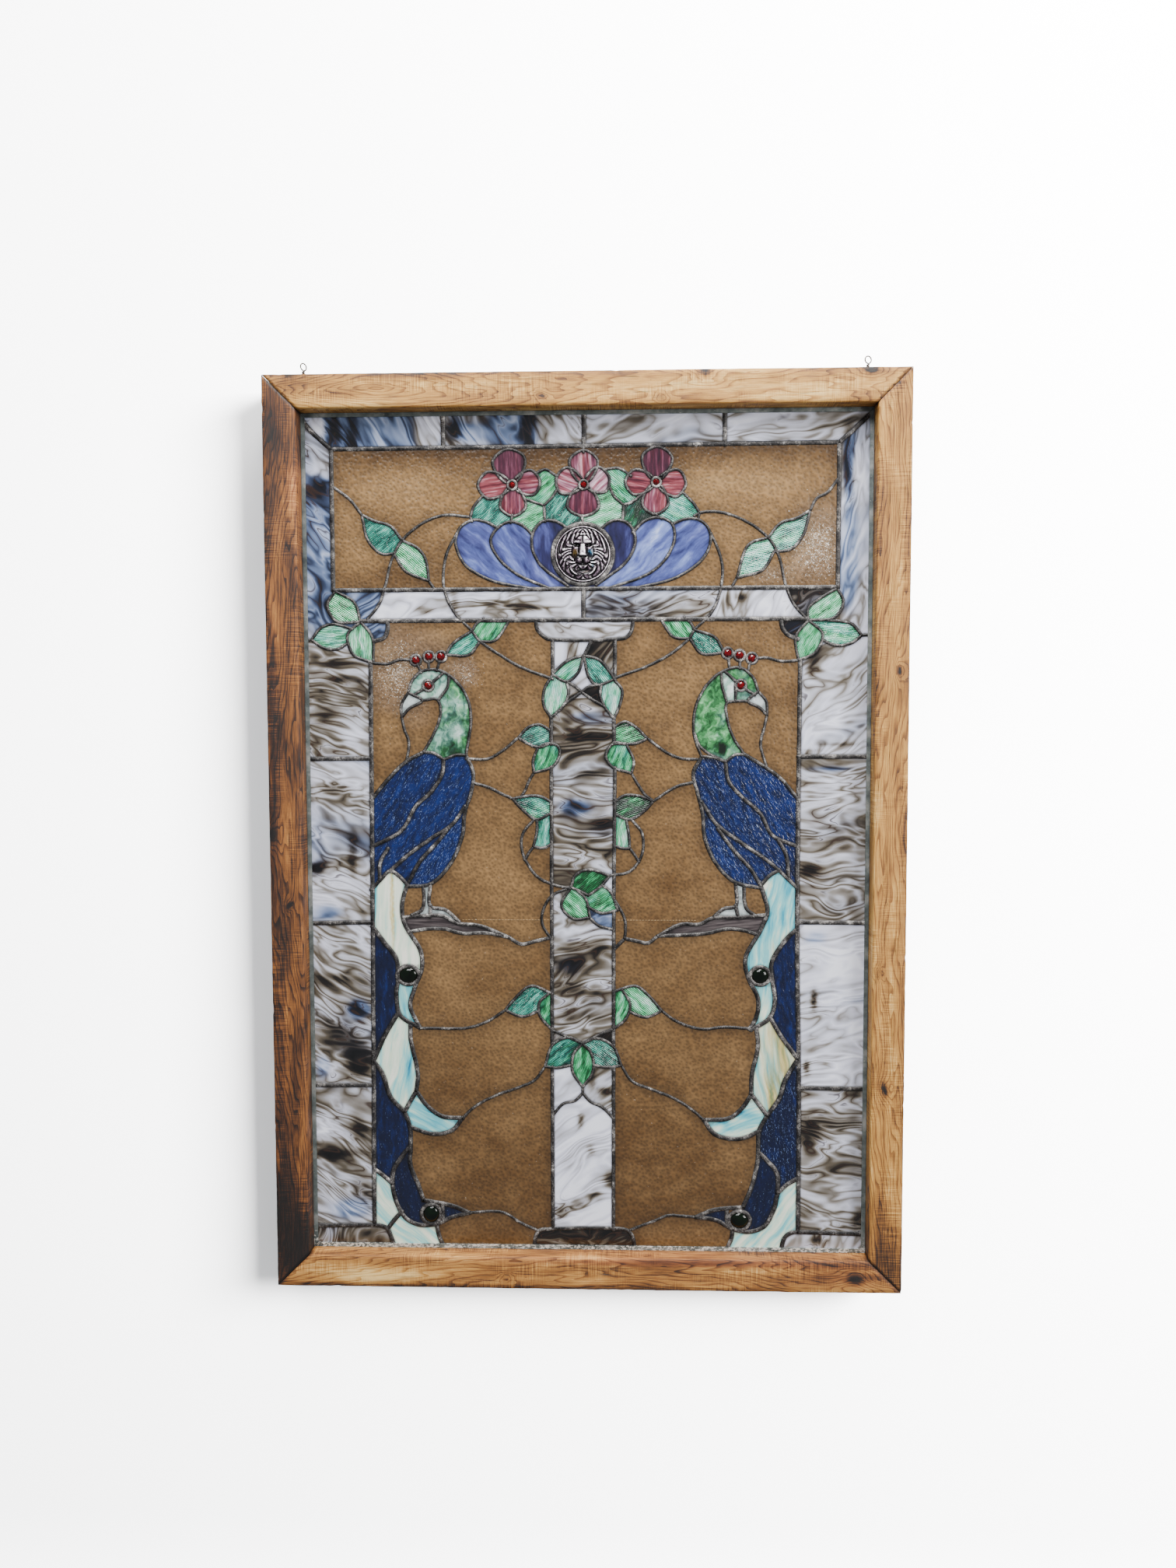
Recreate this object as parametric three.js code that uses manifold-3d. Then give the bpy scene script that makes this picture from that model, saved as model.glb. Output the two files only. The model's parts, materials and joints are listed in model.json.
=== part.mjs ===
// A leaded picture window in a mitred wooden frame: two peacocks on branches either side of a column,
// a bowl of flowers over a lintel, a marbled border, and two screw eyes on the top rail to hang it by.
// Millimetres, +Z up, the front faces -Y. The origin is the middle of the top rail's back face.

import * as THREE from 'three';
import { mergeVertices } from 'three/addons/utils/BufferGeometryUtils.js';
import Module from 'manifold-3d';

const wasm = await Module();
wasm.setup();

// ---- Driving dimensions -------------------------------------------------------------------------

const FRAME_WIDTH = 722;
const FRAME_HEIGHT = 1044;
const FRAME_DEPTH = 64;
const RAIL_FACE = 38;
const PANEL_SETBACK = 25; // front of the wood to the middle of the glass
const GAP = 0.3; // left between pieces that meet

const GLASS_THICKNESS = 3;
const LEAD_PROUD = 1; // how far the leads stand above the face of the glass
const THIN_LEAD = 3;
const PLAIN_LEAD = 4;
const HEAVY_LEAD = 4.8;
const CHORD_ERROR = 1.7; // how far a straight stretch may leave its smooth curve
const SMOOTH_STEPS = 12; // samples between two points of a curve, before they are thinned out
const LEAD_BITE = 0.5; // how far small panes reach into the lead that they are soldered to
const SMALLEST_RECESS = 220; // square millimetres: a smaller pane is level with the leads round it
const MERGE_TOLERANCE = 0.08; // corners closer to a straight edge than this are dropped
const WELD_DISTANCE = 1e-4; // corners this close are one corner
const END_REACH = 1.2; // how far a lead runs on past its last point, into the lead that it meets
const SHARPEST_MITRE = 0.5; // cosine of the half turn beyond which a mitre is cut short
const OVERSHOOT = 1; // how far a cutter reaches past the face that it cuts

const CAME_FACE = 10;
const CAME_SHOWING = 4.5;
const CAME_WALL = 1.2;

const EYE_RING_RADIUS = 3.9;
const EYE_WIRE_RADIUS = 0.75;
const EYE_RING_SIDES = 12;
const EYE_WIRE_SIDES = 6;
const EYE_SHANK = 25;
const EYE_EMBEDDED = 16;
const EYE_SETBACK = 20; // front of the wood to the screw eyes
const EYE_LEFT_X = -318;
const EYE_RIGHT_X = 315;
const WIRE_RADIUS = 0.55;
const WIRE_SIDES = 5;
// The leftover wires, from the middle of the ring: wound round the shank below it, with loose ends.
const WIRE_LEFT = [
  [-4.5, -1, -11.9], [-1.9, -0.7, -11.4], [0, -2, -10.9], [2, 0, -10.4], [0, 2, -9.9], [-2, 0, -9.4],
  [0, -2, -8.9], [2, 0, -8.4], [0, 2, -7.9], [-2.3, 0.4, -7.2], [-4.6, -0.6, -5.6], [-5.6, -1, -3.4],
];
const WIRE_RIGHT = [
  [-2.5, 2, -11.2], [0.4, 2, -10.7], [2, 0, -10.2], [0, -2, -9.7], [-2.3, -1.3, -8.2], [-3.4, -0.4, -6.6],
  [-4.5, 0, -5.7], [-5.5, 2.3, -8], [-6.5, 0, -10.3], [-7.5, -2.3, -8], [-8.5, 0, -5.7], [-9.5, 2.3, -8],
  [-10.5, 0, -10.3], [-11.5, -2.3, -8], [-12.5, 0, -6], [-15.5, 0.5, -7.5], [-19, 1, -11.5],
];

const MEDALLION_LEAD = 5;
const MEDALLION_DOME = 9;
const MEDALLION_RINGS = 6;
const LION = { x: -3, z: 324, halfWidth: 31.5, halfHeight: 31.5 };
const LION_DOME = 0.35; // all of the relief's heights are shares of the medallion's dome
const LION_MANE = { locks: 14, height: 0.16, from: 0.4 };
const LION_FEATURES = [ // middle, spread and height of each swelling, on a disc of radius 1
  { name: 'left brow', at: [-0.2, 0.3], spread: [0.2, 0.14], height: 0.22 },
  { name: 'right brow', at: [0.2, 0.3], spread: [0.2, 0.14], height: 0.22 },
  { name: 'nose', at: [0, 0.05], spread: [0.13, 0.3], height: 0.35 },
  { name: 'left jowl', at: [-0.14, -0.25], spread: [0.18, 0.16], height: 0.3 },
  { name: 'right jowl', at: [0.14, -0.25], spread: [0.18, 0.16], height: 0.3 },
];

const NUGGET_LEAD = 4.4;
const NUGGET_SIDES = 12;
const NUGGET_SECTION = [[0, -5.2], [0.45, -4.7], [0.85, -2.8], [1, 0.2], [0.86, 1.5], [0, 1.5]];
const NUGGETS = {
  nugget_upper_left: { x: -208, z: -160, halfWidth: 10.5, halfHeight: 8.7 },
  nugget_upper_right: { x: 200, z: -159, halfWidth: 9.3, halfHeight: 8.2 },
  nugget_lower_left: { x: -184, z: -444.5, halfWidth: 9.2, halfHeight: 9.6 },
  nugget_lower_right: { x: 177.5, z: -448, halfWidth: 10, halfHeight: 9.2 },
};
const SEAT_SIDES = 28;
const FLOWER_RING_RADIUS = 5;
const JEWEL_RING_RADIUS = 6;
const SMALL_RING_SIDES = 8;

const openingHalfWidth = FRAME_WIDTH / 2 - RAIL_FACE;
const openingHalfHeight = FRAME_HEIGHT / 2 - RAIL_FACE;
const cameSunk = CAME_FACE - CAME_SHOWING;
const cameChannel = GLASS_THICKNESS + 2 * GAP;
const cameThickness = cameChannel + 2 * CAME_WALL;
const panelY = PANEL_SETBACK - FRAME_DEPTH;
const panelZ = RAIL_FACE / 2 - FRAME_HEIGHT / 2;

// ---- The pattern of the leading -----------------------------------------------------------------
// Each lead line is smooth through its x, z pairs, measured from the middle of the panel.

const PATTERN = [
  {
    name: 'border', width: HEAVY_LEAD, lines: [
      [-289, 444, 285, 446], [-161, 444, -161, 495], [-1.5, 445, -1.5, 495], [157, 445, 157, 495],
      [-289, 444, -310, 463, -335, 492], [285, 446, 303, 462, 335, 492],
      [-289, 444, -289, 285], [285, 446, 284.5, 285],
    ],
  },
  {
    name: 'lintel', width: HEAVY_LEAD, lines: [
      [-289, 285, 284.5, 285], [-258, 250, 251, 250], [-2.5, 285, -2.5, 250],
      [-227, 250, -227, 240, -231, 231, -242, 227], [221, 250, 223, 239, 229, 232, 240, 227],
    ],
  },
  {
    name: 'side columns', width: HEAVY_LEAD, lines: [
      [-247, 203, -249, -150, -251.5, -458.5], [-335, 92, -248, 92.5], [-335, -99.5, -249, -98],
      [-335, -291, -251, -290.5], [-335, -460, -251.5, -458.5],
      [-251.5, -458.5, -243, -459.5, -236, -463, -231.5, -474, -226, -490],
      [243, 203, 242, -100, 245.5, -300, 245.5, -461], [242, 94, 335, 94], [242, -96.5, 335, -97],
      [245.5, -290, 335, -290.5], [245.5, -461, 335, -463],
      [245.5, -461, 238, -462, 231, -467, 227.5, -476, 227, -490],
    ],
  },
  {
    name: 'middle column', width: PLAIN_LEAD, lines: [
      [-57, 250, -55, 239, -45, 229.5, -32, 227.5, 33, 228, 46, 230, 52, 237, 54, 250],
      [-38, 227, -38, 188], [33.5, 228, 33, 182], [7, 227, -2, 209],
      [-40, 139, -40, 109], [-40, 82, -40.5, -239], [-40.5, -268, -40.5, -461],
      [32, 138, 32, 110], [33, 81, 31.5, -68], [31.5, -85, 31, -241], [31, -267, 30.5, -461],
      [-62, -490, -61.5, -472, -57, -463, -46, -461, 44, -460.5, 50, -464, 54.5, -474, 55, -490],
    ],
  },
  {
    name: 'swag and lower arches of the middle column', width: THIN_LEAD, lines: [
      [-40.5, -224, -24, -231, -5, -239.5], [31, -222, 14, -229, -5, -239.5],
      [-5, -291, -5, -298], [-5, -298, -14, -307, -28, -311, -40.5, -325],
      [-5, -298, 4, -308, 18, -315, 31, -328],
    ],
  },
  {
    name: 'arching leaves at the column head', width: THIN_LEAD, lines: [
      [-38, 189, -22, 203, -3, 209.5], [-3, 209.5, -9, 190, -22, 180, -38, 188],
      [-3, 209.5, 16, 204, 32, 184], [-2, 209, 3, 186, 12, 176, 32, 182],
      [-38, 188, -48, 170, -48, 152, -40, 139], [-22, 180, -20, 167, -25, 154, -40, 139],
      [32, 182, 41, 171, 39, 154, 32, 138], [18, 177, 16.5, 163, 22, 150, 32, 138],
      [-5, 168, -15, 161, -24, 155], [-5, 168, 8, 159, 20, 152],
      [-5, 168, -13, 175, -22, 180], [-5, 168, 3, 174, 12, 176],
    ],
  },
  {
    name: 'leaves and stems on the left of the column', width: THIN_LEAD, lines: [
      [-78, 116, -66, 128, -54, 131, -40, 124], [-78, 116, -66, 109, -55, 105, -40, 110],
      [-55, 105, -43, 109.5, -32, 106, -31, 94, -40, 82, -60, 76], [-60, 76, -61, 90, -55, 105],
      [-78, 116, -95, 102, -113, 92, -138, 92], [-60, 76, -66, 66, -70, 56, -76, 47],
      [-85, 46, -68, 49, -53, 48.5, -40, 42], [-85, 46, -74, 34, -58, 22, -40, 29.5],
      [-129, 64, -112, 59, -98, 52, -85, 46], [-57, 22, -57, 8, -61, -9.5],
      [-61, -9.5, -50, -11, -40, -6], [-61, -9.5, -66, -16, -71, -25],
      [-60, 22, -73, 6, -74, -15, -58, -43, -40, -53, -19, -58],
      [-24, -59, -40, -66, -51, -86, -51, -100, -41, -117],
    ],
  },
  {
    name: 'leaves and stems on the right of the column', width: THIN_LEAD, lines: [
      [32, 128, 45, 134, 58, 127, 70, 115], [70, 115, 58, 109.5, 46, 108.5, 32, 111],
      [46, 108.5, 30, 108, 22.5, 96, 30, 82.5, 52, 75], [52, 75, 54.5, 89, 46, 108.5],
      [70, 115, 92, 99, 108, 92, 127, 91], [52, 75, 59, 63, 66, 52, 77, 43],
      [32, 42, 44, 49.5, 60, 49, 77, 43], [77, 43, 66, 31, 50, 22, 32, 28],
      [77, 43, 90, 52, 104, 60, 124, 65], [46, 22, 48.5, 6, 50, -11.5],
      [50, -11.5, 42, -11.5, 32, -8.5], [50, -11.5, 55, -18, 60.5, -27],
      [52, 22, 64, 6, 64, -18, 50, -38, 27, -43], [32, -70, 42, -88, 45, -100, 44, -116],
    ],
  },
  {
    name: 'three leaves on the shaft', width: THIN_LEAD, lines: [
      [-18, -57, -13, -43, 2, -36, 27, -43], [27, -43, 17, -55, 2, -66], [2, -66, -8, -61, -18, -57],
      [-10, -61, -1, -70, 4, -92], [4, -92, -16, -93, -29, -77, -18, -57],
      [18, -54, 28, -62, 36, -83], [36, -83, 18, -86.5, 1, -79],
      [4, -92, 14, -101, 32, -106],
    ],
  },
  {
    name: 'pairs of leaves low on the shaft', width: THIN_LEAD, lines: [
      [-95, -200.5, -82, -185, -65, -172, -40, -181], [-95, -200.5, -75, -208, -56, -201],
      [-43, -180, -55, -191, -55, -206, -40, -224],
      [31, -178, 57, -171.5, 72, -183, 87, -200.5], [87, -200.5, 68, -208, 50, -202],
      [41, -176, 50, -192, 46, -209, 31, -222],
      [-95, -200.5, -114, -213, -138, -221.5, -194, -222.5],
      [87, -200.5, 104, -212.5, 132, -221.5, 160, -219, 192, -221],
    ],
  },
  {
    name: 'trefoil of leaves and its vines', width: THIN_LEAD, lines: [
      [-5, -239.5, -21, -232.5, -40, -241, -49, -267], [-49, -267, -35, -268.5, -18, -265],
      [-5, -239.5, 11, -233, 30, -242, 40, -265], [40, -265, 25, -267.5, 8, -265],
      [-5, -239.5, -15, -251, -17, -272, -5, -291], [-5, -239.5, 5, -251, 7, -272, -5, -291],
      [-49, -267, -61, -283, -80, -292, -105, -301, -130, -314, -146, -329],
      [40, -265, 52, -283, 75, -293, 98, -302, 120, -315, 136, -329],
    ],
  },
  {
    name: 'bottom vines', width: THIN_LEAD, lines: [
      [-139, -442.5, -115, -440.5, -98, -442, -78, -454, -58, -463],
      [127, -444.5, 110, -443.5, 95, -443, 75, -451, 50, -461],
    ],
  },
  {
    name: 'corner sprays', width: THIN_LEAD, lines: [
      [-287, 284, -296, 268, -286, 250, -258, 249], [-287, 284, -265, 271, -258, 249],
      [-315, 229, -303, 243, -289, 246.5, -268, 241], [-315, 229, -302, 220, -286, 218, -273, 225],
      [-258, 249, -245, 232, -244, 202], [-258, 249, -273, 235, -267, 212, -244, 202],
      [-315, 229, -335, 227],
      [284, 284, 291, 268, 281, 251, 252, 248], [284, 284, 262, 270.5, 252, 262, 251, 249],
      [312, 231, 300, 244, 274, 248], [312, 231, 300, 222, 284, 219.5, 267, 226],
      [252, 248, 238, 230, 241, 203], [252, 248, 268, 233, 260, 212, 241, 203],
      [312, 231, 335, 232],
    ],
  },
  {
    name: 'upper vines, left', width: THIN_LEAD, lines: [
      [-289, 403, -268, 387, -255, 370], [-255, 370, -240, 363, -222, 357, -209, 341],
      [-255, 370, -248, 341, -233, 326, -219, 326], [-209, 341, -190, 331, -182, 318, -179, 295],
      [-219, 326, -205, 306, -179, 295], [-179, 295, -172, 285],
      [-131, 366.5, -160, 369, -185, 360.5, -209, 341, -221, 320, -229, 290, -237, 268, -252, 250],
      [-147, 348, -158, 326, -162, 305, -161, 284, -151, 261, -130, 238],
    ],
  },
  {
    name: 'upper vines, right', width: THIN_LEAD, lines: [
      [285, 407, 271, 390, 260, 384, 253, 371], [253, 371, 237, 362, 220, 357, 206, 341],
      [253, 371, 245, 343, 232, 328, 215, 325], [206, 341, 184, 333, 171, 296],
      [214, 327, 200, 305, 171, 296], [171, 296, 165, 285],
      [123, 366, 131, 369.5, 150, 370, 178, 361, 206, 341, 218, 321, 226, 288, 235, 267, 250, 250],
      [142, 346, 152, 322, 155, 304, 152, 280, 143, 258, 123, 238],
    ],
  },
  {
    name: 'crest vines, left', width: THIN_LEAD, lines: [
      [-244, 202, -228, 201, -214, 205.5, -198, 205],
      [-161, 211, -152, 224, -130, 238], [-161, 211, -134, 211, -121, 226],
      [-130, 238, -121, 226], [-130, 238, -125, 246, -117, 252], [-121, 226, -104, 227, -87, 250],
      [-121, 226, -102, 213, -75, 197, -38, 183],
      [-194, 202, -189, 191], [-180, 206, -180, 194], [-167, 206, -171, 193],
    ],
  },
  {
    name: 'crest vines, right', width: THIN_LEAD, lines: [
      [241, 203, 222, 202, 206, 206, 192, 205],
      [157, 212, 147, 229, 123, 238], [157, 212, 132, 211, 118, 228],
      [118, 228, 123, 238], [123, 238, 120, 245, 112, 252], [118, 228, 100, 230, 85, 250],
      [118, 228, 98, 212, 72, 198, 33, 184],
      [162, 208, 163, 194], [175, 206, 175, 194], [187, 202, 184, 190],
    ],
  },
  {
    name: 'greenery round the flowers', width: THIN_LEAD, lines: [
      [-131, 367, -127, 378, -117, 389.5], [-131, 367, -129, 362], [-83, 368, -85, 360],
      [-68, 386, -47, 379], [-47, 379, -46, 361], [-56, 415, -45, 419, -33, 412], [-2, 438, -2, 445],
      [-32, 397, -38, 388, -47, 379], [-4, 367, -3, 359], [27, 400, 33, 388, 43, 379],
      [43, 379, 42, 361], [22.5, 418.5, 38, 419.5, 51.5, 411], [43, 379, 51, 381, 65, 391],
      [78, 369, 86, 363], [110.5, 391.5, 122, 380, 129, 369], [129, 369, 127, 362],
    ],
  },
  {
    name: 'petals of the bowl', width: THIN_LEAD, lines: [
      [-100, 354, -113, 361, -129, 363, -143, 354, -148, 338, -138, 314, -110, 296, -60, 285],
      [-60, 346, -72, 357, -86, 361, -100, 354, -108, 340, -99, 320, -78, 302, -40, 285],
      [-20, 353, -34, 361, -49, 361, -59, 350, -61, 334, -52, 313, -20, 288],
      [17, 352, 30, 361, 43, 361, 54, 351, 56, 334, 46, 315, 12, 289],
      [54, 348, 66, 360, 82, 364.5, 97, 358, 101, 343, 92, 320, 72, 302, 25, 285],
      [98, 357, 112, 362, 127, 362, 139, 352, 141, 335, 130, 315, 100, 296, 55, 285],
    ],
  },
  {
    name: 'left head', width: THIN_LEAD, lines: [
      [-204, 168, -200, 181, -189, 192, -171, 194, -152, 184, -137, 164, -132, 139, -138, 96],
      [-188, 159, -171, 160, -167, 145, -175, 121, -187, 100],
      [-157, 187, -159, 174, -169, 160], [-204, 168, -212, 155, -212, 140],
      [-212, 140, -203, 150, -188, 159, -204, 168], [-163, 191, -181, 176, -198, 165],
      [-212, 140, -209, 126, -204, 111, -207, 88], [-187, 100, -175, 98.5, -164, 91],
      [-164, 91, -151, 96, -138, 96],
    ],
  },
  {
    name: 'right head', width: THIN_LEAD, lines: [
      [132, 94, 123.5, 118, 124, 146, 135, 172, 154, 190, 175, 195, 190, 184, 196, 168],
      [184, 157, 171, 157, 160.5, 155, 161, 137, 168, 116, 180, 97],
      [154, 189, 155, 175, 160, 157], [196, 168, 205, 157, 206, 141],
      [206, 141, 197, 150, 184, 157, 196, 168], [158, 191, 176, 175, 192, 164],
      [171, 178, 170, 158], [206, 141, 203, 127, 199, 108, 206, 82],
      [180, 97, 170, 96, 159, 88], [159, 88, 146, 93, 132, 94],
      [124, 120, 130, 106, 141, 97, 158, 89],
    ],
  },
  {
    name: 'left body', width: PLAIN_LEAD, lines: [
      [-187, 100, -208, 88.5, -230, 67, -249, 44],
      [-138, 96, -130, 76, -132, 55, -140, 30, -143, 4, -157, -29, -181, -53, -208, -56],
      [-164, 91, -166, 74, -179, 54, -197, 37, -214, 9, -249, -10],
      [-140, 37, -155, 16, -178, 1, -205, -18, -228, -38],
      [-159, 12, -172, -4, -192, -26, -208, -54], [-230, -12, -239, -28, -240, -49],
      [-250, -60, -238, -47, -228, -38, -217, -44, -208, -54],
    ],
  },
  {
    name: 'right body', width: PLAIN_LEAD, lines: [
      [180, 97, 200, 85, 222, 69, 242, 45],
      [132, 94, 122.5, 75, 127, 54, 133, 30, 136, 0, 149, -29, 170, -50, 200, -57],
      [159, 88, 163, 66, 178, 48, 199, 29, 213, 4, 242, -9],
      [132, 42, 150, 16, 178, -5, 211, -28, 242, -57], [151, 11, 168, -12, 189, -36, 200, -54],
      [220, -1, 229, -20, 232, -46], [200, -54, 210, -43, 221, -36],
    ],
  },
  {
    name: 'left tail', width: HEAVY_LEAD, lines: [
      [-208, -54, -214, -76, -212, -98, -193, -132, -192, -152, -201, -176, -206, -196, -195, -222],
      [-249, -103, -236, -121, -222, -140, -219.5, -160, -222, -183, -218, -207, -195, -222],
      [-220, -204, -236, -231, -250, -262], [-250, -262, -240, -276, -230, -305, -214, -322],
      [-206, -220, -206, -235, -198, -277, -200, -297], [-200, -297, -207, -309, -214, -322],
      [-200, -297, -188, -314, -170, -327, -146, -329],
      [-146, -329, -159, -344, -182, -348, -208, -340],
      [-214, -322, -208, -340, -207.5, -366, -208, -386, -199, -409, -193, -428],
      [-208, -363, -219, -377, -228, -392, -230, -408], [-251, -391, -240, -399, -230, -408],
      [-230, -408, -227, -425, -215, -449, -199, -457.5, -177, -457],
      [-193, -428, -160, -434, -139, -442.5], [-177, -457, -162, -449, -139, -442.5],
      [-171, -432, -170, -453], [-219, -442, -228, -452, -236, -463],
      [-178, -457, -175, -470, -167, -490],
    ],
  },
  {
    name: 'right tail', width: HEAVY_LEAD, lines: [
      [200, -54, 208, -84, 201, -104, 183, -139, 186, -160, 198, -187, 195, -210, 188, -221],
      [242, -104, 228, -118, 213, -144, 214, -165, 217, -188, 211, -208, 190, -222],
      [212, -208, 223, -227, 244, -256], [244, -256, 229, -282, 223, -302, 209, -323],
      [196, -221, 198, -241, 191, -276, 190.5, -298], [190.5, -298, 198, -308, 209, -323],
      [190.5, -298, 182, -312, 166, -326, 136, -329],
      [136, -329, 148, -345, 168, -351, 185, -349, 200, -341],
      [209, -323, 200, -341, 198.5, -375, 192, -406, 181.5, -432],
      [199, -366, 212, -379, 221, -392, 222, -415], [245.5, -397, 233, -404, 222, -415],
      [222, -415, 218, -433, 206, -455, 188, -461.5, 170, -459],
      [181.5, -432, 147, -436, 127, -444.5], [170, -459, 150, -448, 127, -444.5],
      [163, -434, 163, -454], [170, -459, 168, -470, 160, -490],
    ],
  },
  {
    name: 'left leg and branch', width: PLAIN_LEAD, lines: [
      [-189.5, -56, -188.5, -72, -191, -83, -203, -89.5], [-181, -53, -181, -79, -164, -83, -148, -97],
      [-181, -78, -182, -91],
      [-213, -92, -189, -90, -166, -90.5, -151, -98.5, -125, -101.5, -90, -115],
      [-207, -109, -185, -105.5, -165, -105.5, -145, -110.5, -118, -110, -90, -115],
      [-90, -115, -76, -123, -58, -119, -40, -115],
    ],
  },
  {
    name: 'right leg and branch', width: PLAIN_LEAD, lines: [
      [171.5, -53, 171.5, -78, 158, -81, 145, -92], [181, -55, 181.7, -72, 184.5, -81.5, 194, -89],
      [171.5, -77, 174.5, -91],
      [208, -88, 173, -91, 145, -92, 130, -99, 108, -99.5, 82, -113],
      [197, -111, 180, -106, 161, -104.5, 142, -109, 125, -111, 82, -113],
      [82, -113, 71, -121, 58, -119, 44, -116], [44, -116, 32, -128],
    ],
  },
];

/** Flowers: where the jewel sits, and for each petal its direction in degrees, length and width. */
const FLOWERS = [
  { x: -83, z: 402, petals: [[98, 40.5, 38], [7, 32, 29], [-88, 35, 30], [180, 39, 31]] },
  { x: -2, z: 401.5, petals: [[90, 38.5, 33], [167, 32, 31], [16, 30, 30], [-92, 35, 37]] },
  { x: 80, z: 404, petals: [[88, 39.5, 35], [180, 35, 29], [-4, 33.5, 31], [-93, 36, 30]] },
];
const CREST_JEWELS = [[-195, 205], [-180, 209], [-166, 209], [161, 211.5], [174.5, 209], [188.5, 205.5]];
const EYES = [[-181, 176], [176, 175]];

const AMBER = 0xa8763f;
const MARBLED = 0xb9b6b4;
const COBALT = 0x1f3a78;
const CREAM = 0xdde3cc;

/** The larger panes, each known by a point inside it. All smaller ones are soldered in with the leads. */
const PANES = {
  border_top_1: [-240, 465, MARBLED], border_top_2: [-80, 465, MARBLED],
  border_top_3: [80, 465, MARBLED], border_top_4: [230, 465, MARBLED],
  border_left_upper: [-305, 350, MARBLED], border_right_upper: [303, 350, MARBLED],
  border_left_1: [-290, 150, MARBLED], border_right_1: [290, 150, MARBLED],
  border_left_2: [-290, 0, MARBLED], border_right_2: [290, 0, MARBLED],
  border_left_3: [-290, -200, MARBLED], border_right_3: [290, -200, MARBLED],
  border_left_4: [-290, -380, MARBLED], border_right_4: [290, -380, MARBLED],
  border_left_corner: [-290, -470, MARBLED], border_right_corner: [290, -472, MARBLED],
  lintel_2: [-190, 268, MARBLED], lintel_3: [-80, 268, MARBLED],
  lintel_4: [80, 268, MARBLED], lintel_5: [190, 268, MARBLED],
  capital: [0, 240, MARBLED], column_base: [0, -472, MARBLED],
  shaft_upper: [-5, 60, MARBLED], shaft_middle: [-5, -160, MARBLED], shaft_lower: [-5, -380, MARBLED],
  sky_left: [-200, 400, AMBER], sky_right: [200, 400, AMBER],
  ground_left_1: [-100, 150, AMBER], ground_right_1: [100, 150, AMBER],
  ground_left_2: [-110, 0, AMBER], ground_right_2: [105, 0, AMBER],
  ground_left_3: [-110, -160, AMBER], ground_right_3: [110, -160, AMBER],
  ground_left_4: [-130, -260, AMBER], ground_right_4: [130, -260, AMBER],
  ground_left_5: [-110, -380, AMBER], ground_right_5: [110, -380, AMBER],
  wing_left: [-210, 50, COBALT], wing_right: [205, 50, COBALT],
  tail_left: [-225, -80, CREAM], tail_right: [222, -80, CREAM],
};

const FINISHES = {
  wood: { color: 0xa0713f, roughness: 0.75, metalness: 0 },
  zinc: { color: 0x85888a, roughness: 0.5, metalness: 0.9 },
  lead: { color: 0x5c5a5a, roughness: 0.45, metalness: 0.9 },
  steel: { color: 0x4a4b4d, roughness: 0.5, metalness: 1 },
  pressedGlass: { color: 0x8a7a78, roughness: 0.2, metalness: 0.1 },
  nugget: { color: 0x123010, roughness: 0.1, metalness: 0 },
  glass: { roughness: 0.15, metalness: 0 },
};

// ---- Geometry helpers ---------------------------------------------------------------------------

/** Pairs of numbers as points of the panel, in the x, z plane. */
function pairs(flat) {
  const points = [];
  for (let i = 0; i < flat.length; i += 2) {
    points.push(new THREE.Vector3(flat[i], 0, flat[i + 1]));
  }
  return points;
}

/** Keeps only the points that a line needs to stay within the chord error. */
function thinned(points) {
  const first = points[0];
  const last = points[points.length - 1];
  const chord = new THREE.Line3(first, last);
  const foot = new THREE.Vector3();
  let worst = 0;
  let worstIndex = 0;
  for (let i = 1; i < points.length - 1; i += 1) {
    const distance = chord.closestPointToPoint(points[i], true, foot).distanceTo(points[i]);
    if (distance > worst) {
      worst = distance;
      worstIndex = i;
    }
  }
  if (worst <= CHORD_ERROR) {
    return [first, last];
  }
  const before = thinned(points.slice(0, worstIndex + 1));
  return [...before.slice(0, -1), ...thinned(points.slice(worstIndex))];
}

/** A smooth open line through the points. */
function smoothLine(points) {
  const curve = new THREE.CatmullRomCurve3(points, false, 'centripetal');
  return thinned(curve.getPoints(SMOOTH_STEPS * (points.length - 1)));
}

/** A smooth closed loop through the points, without repeating its first point. */
function smoothLoop(points) {
  const curve = new THREE.CatmullRomCurve3(points, true, 'centripetal');
  const dense = curve.getPoints(SMOOTH_STEPS * points.length);
  const half = Math.floor(dense.length / 2);
  const there = thinned(dense.slice(0, half + 1));
  const back = thinned(dense.slice(half));
  return [...there.slice(0, -1), ...back.slice(0, -1)];
}

function circle(x, z, radiusX, radiusZ, sides) {
  const points = [];
  for (let i = 0; i < sides; i += 1) {
    const angle = (2 * Math.PI * i) / sides;
    points.push(new THREE.Vector3(x + radiusX * Math.cos(angle), 0, z + radiusZ * Math.sin(angle)));
  }
  return points;
}

/** A petal's loop: pointed at the jewel and round at its far end. */
function petal(x, z, [degrees, length, width]) {
  const angle = THREE.MathUtils.degToRad(degrees);
  const along = new THREE.Vector3(Math.cos(angle), 0, Math.sin(angle));
  const across = new THREE.Vector3(-along.z, 0, along.x);
  const outline = [[0, 0], [0.36, 0.4], [0.74, 0.47], [1, 0], [0.74, -0.47], [0.36, -0.4]];
  const points = outline.map(([far, side]) => new THREE.Vector3(x, 0, z)
    .addScaledVector(along, far * length)
    .addScaledVector(across, side * width));
  return smoothLoop(points);
}

/** A manifold solid from any closed three.js geometry. */
function solid(geometry) {
  const bare = geometry.clone();
  bare.deleteAttribute('normal');
  bare.deleteAttribute('uv');
  const merged = mergeVertices(bare, WELD_DISTANCE);
  return new wasm.Manifold(new wasm.Mesh({
    numProp: 3,
    vertProperties: new Float32Array(merged.attributes.position.array),
    triVerts: new Uint32Array(merged.index.array),
  }));
}

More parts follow.
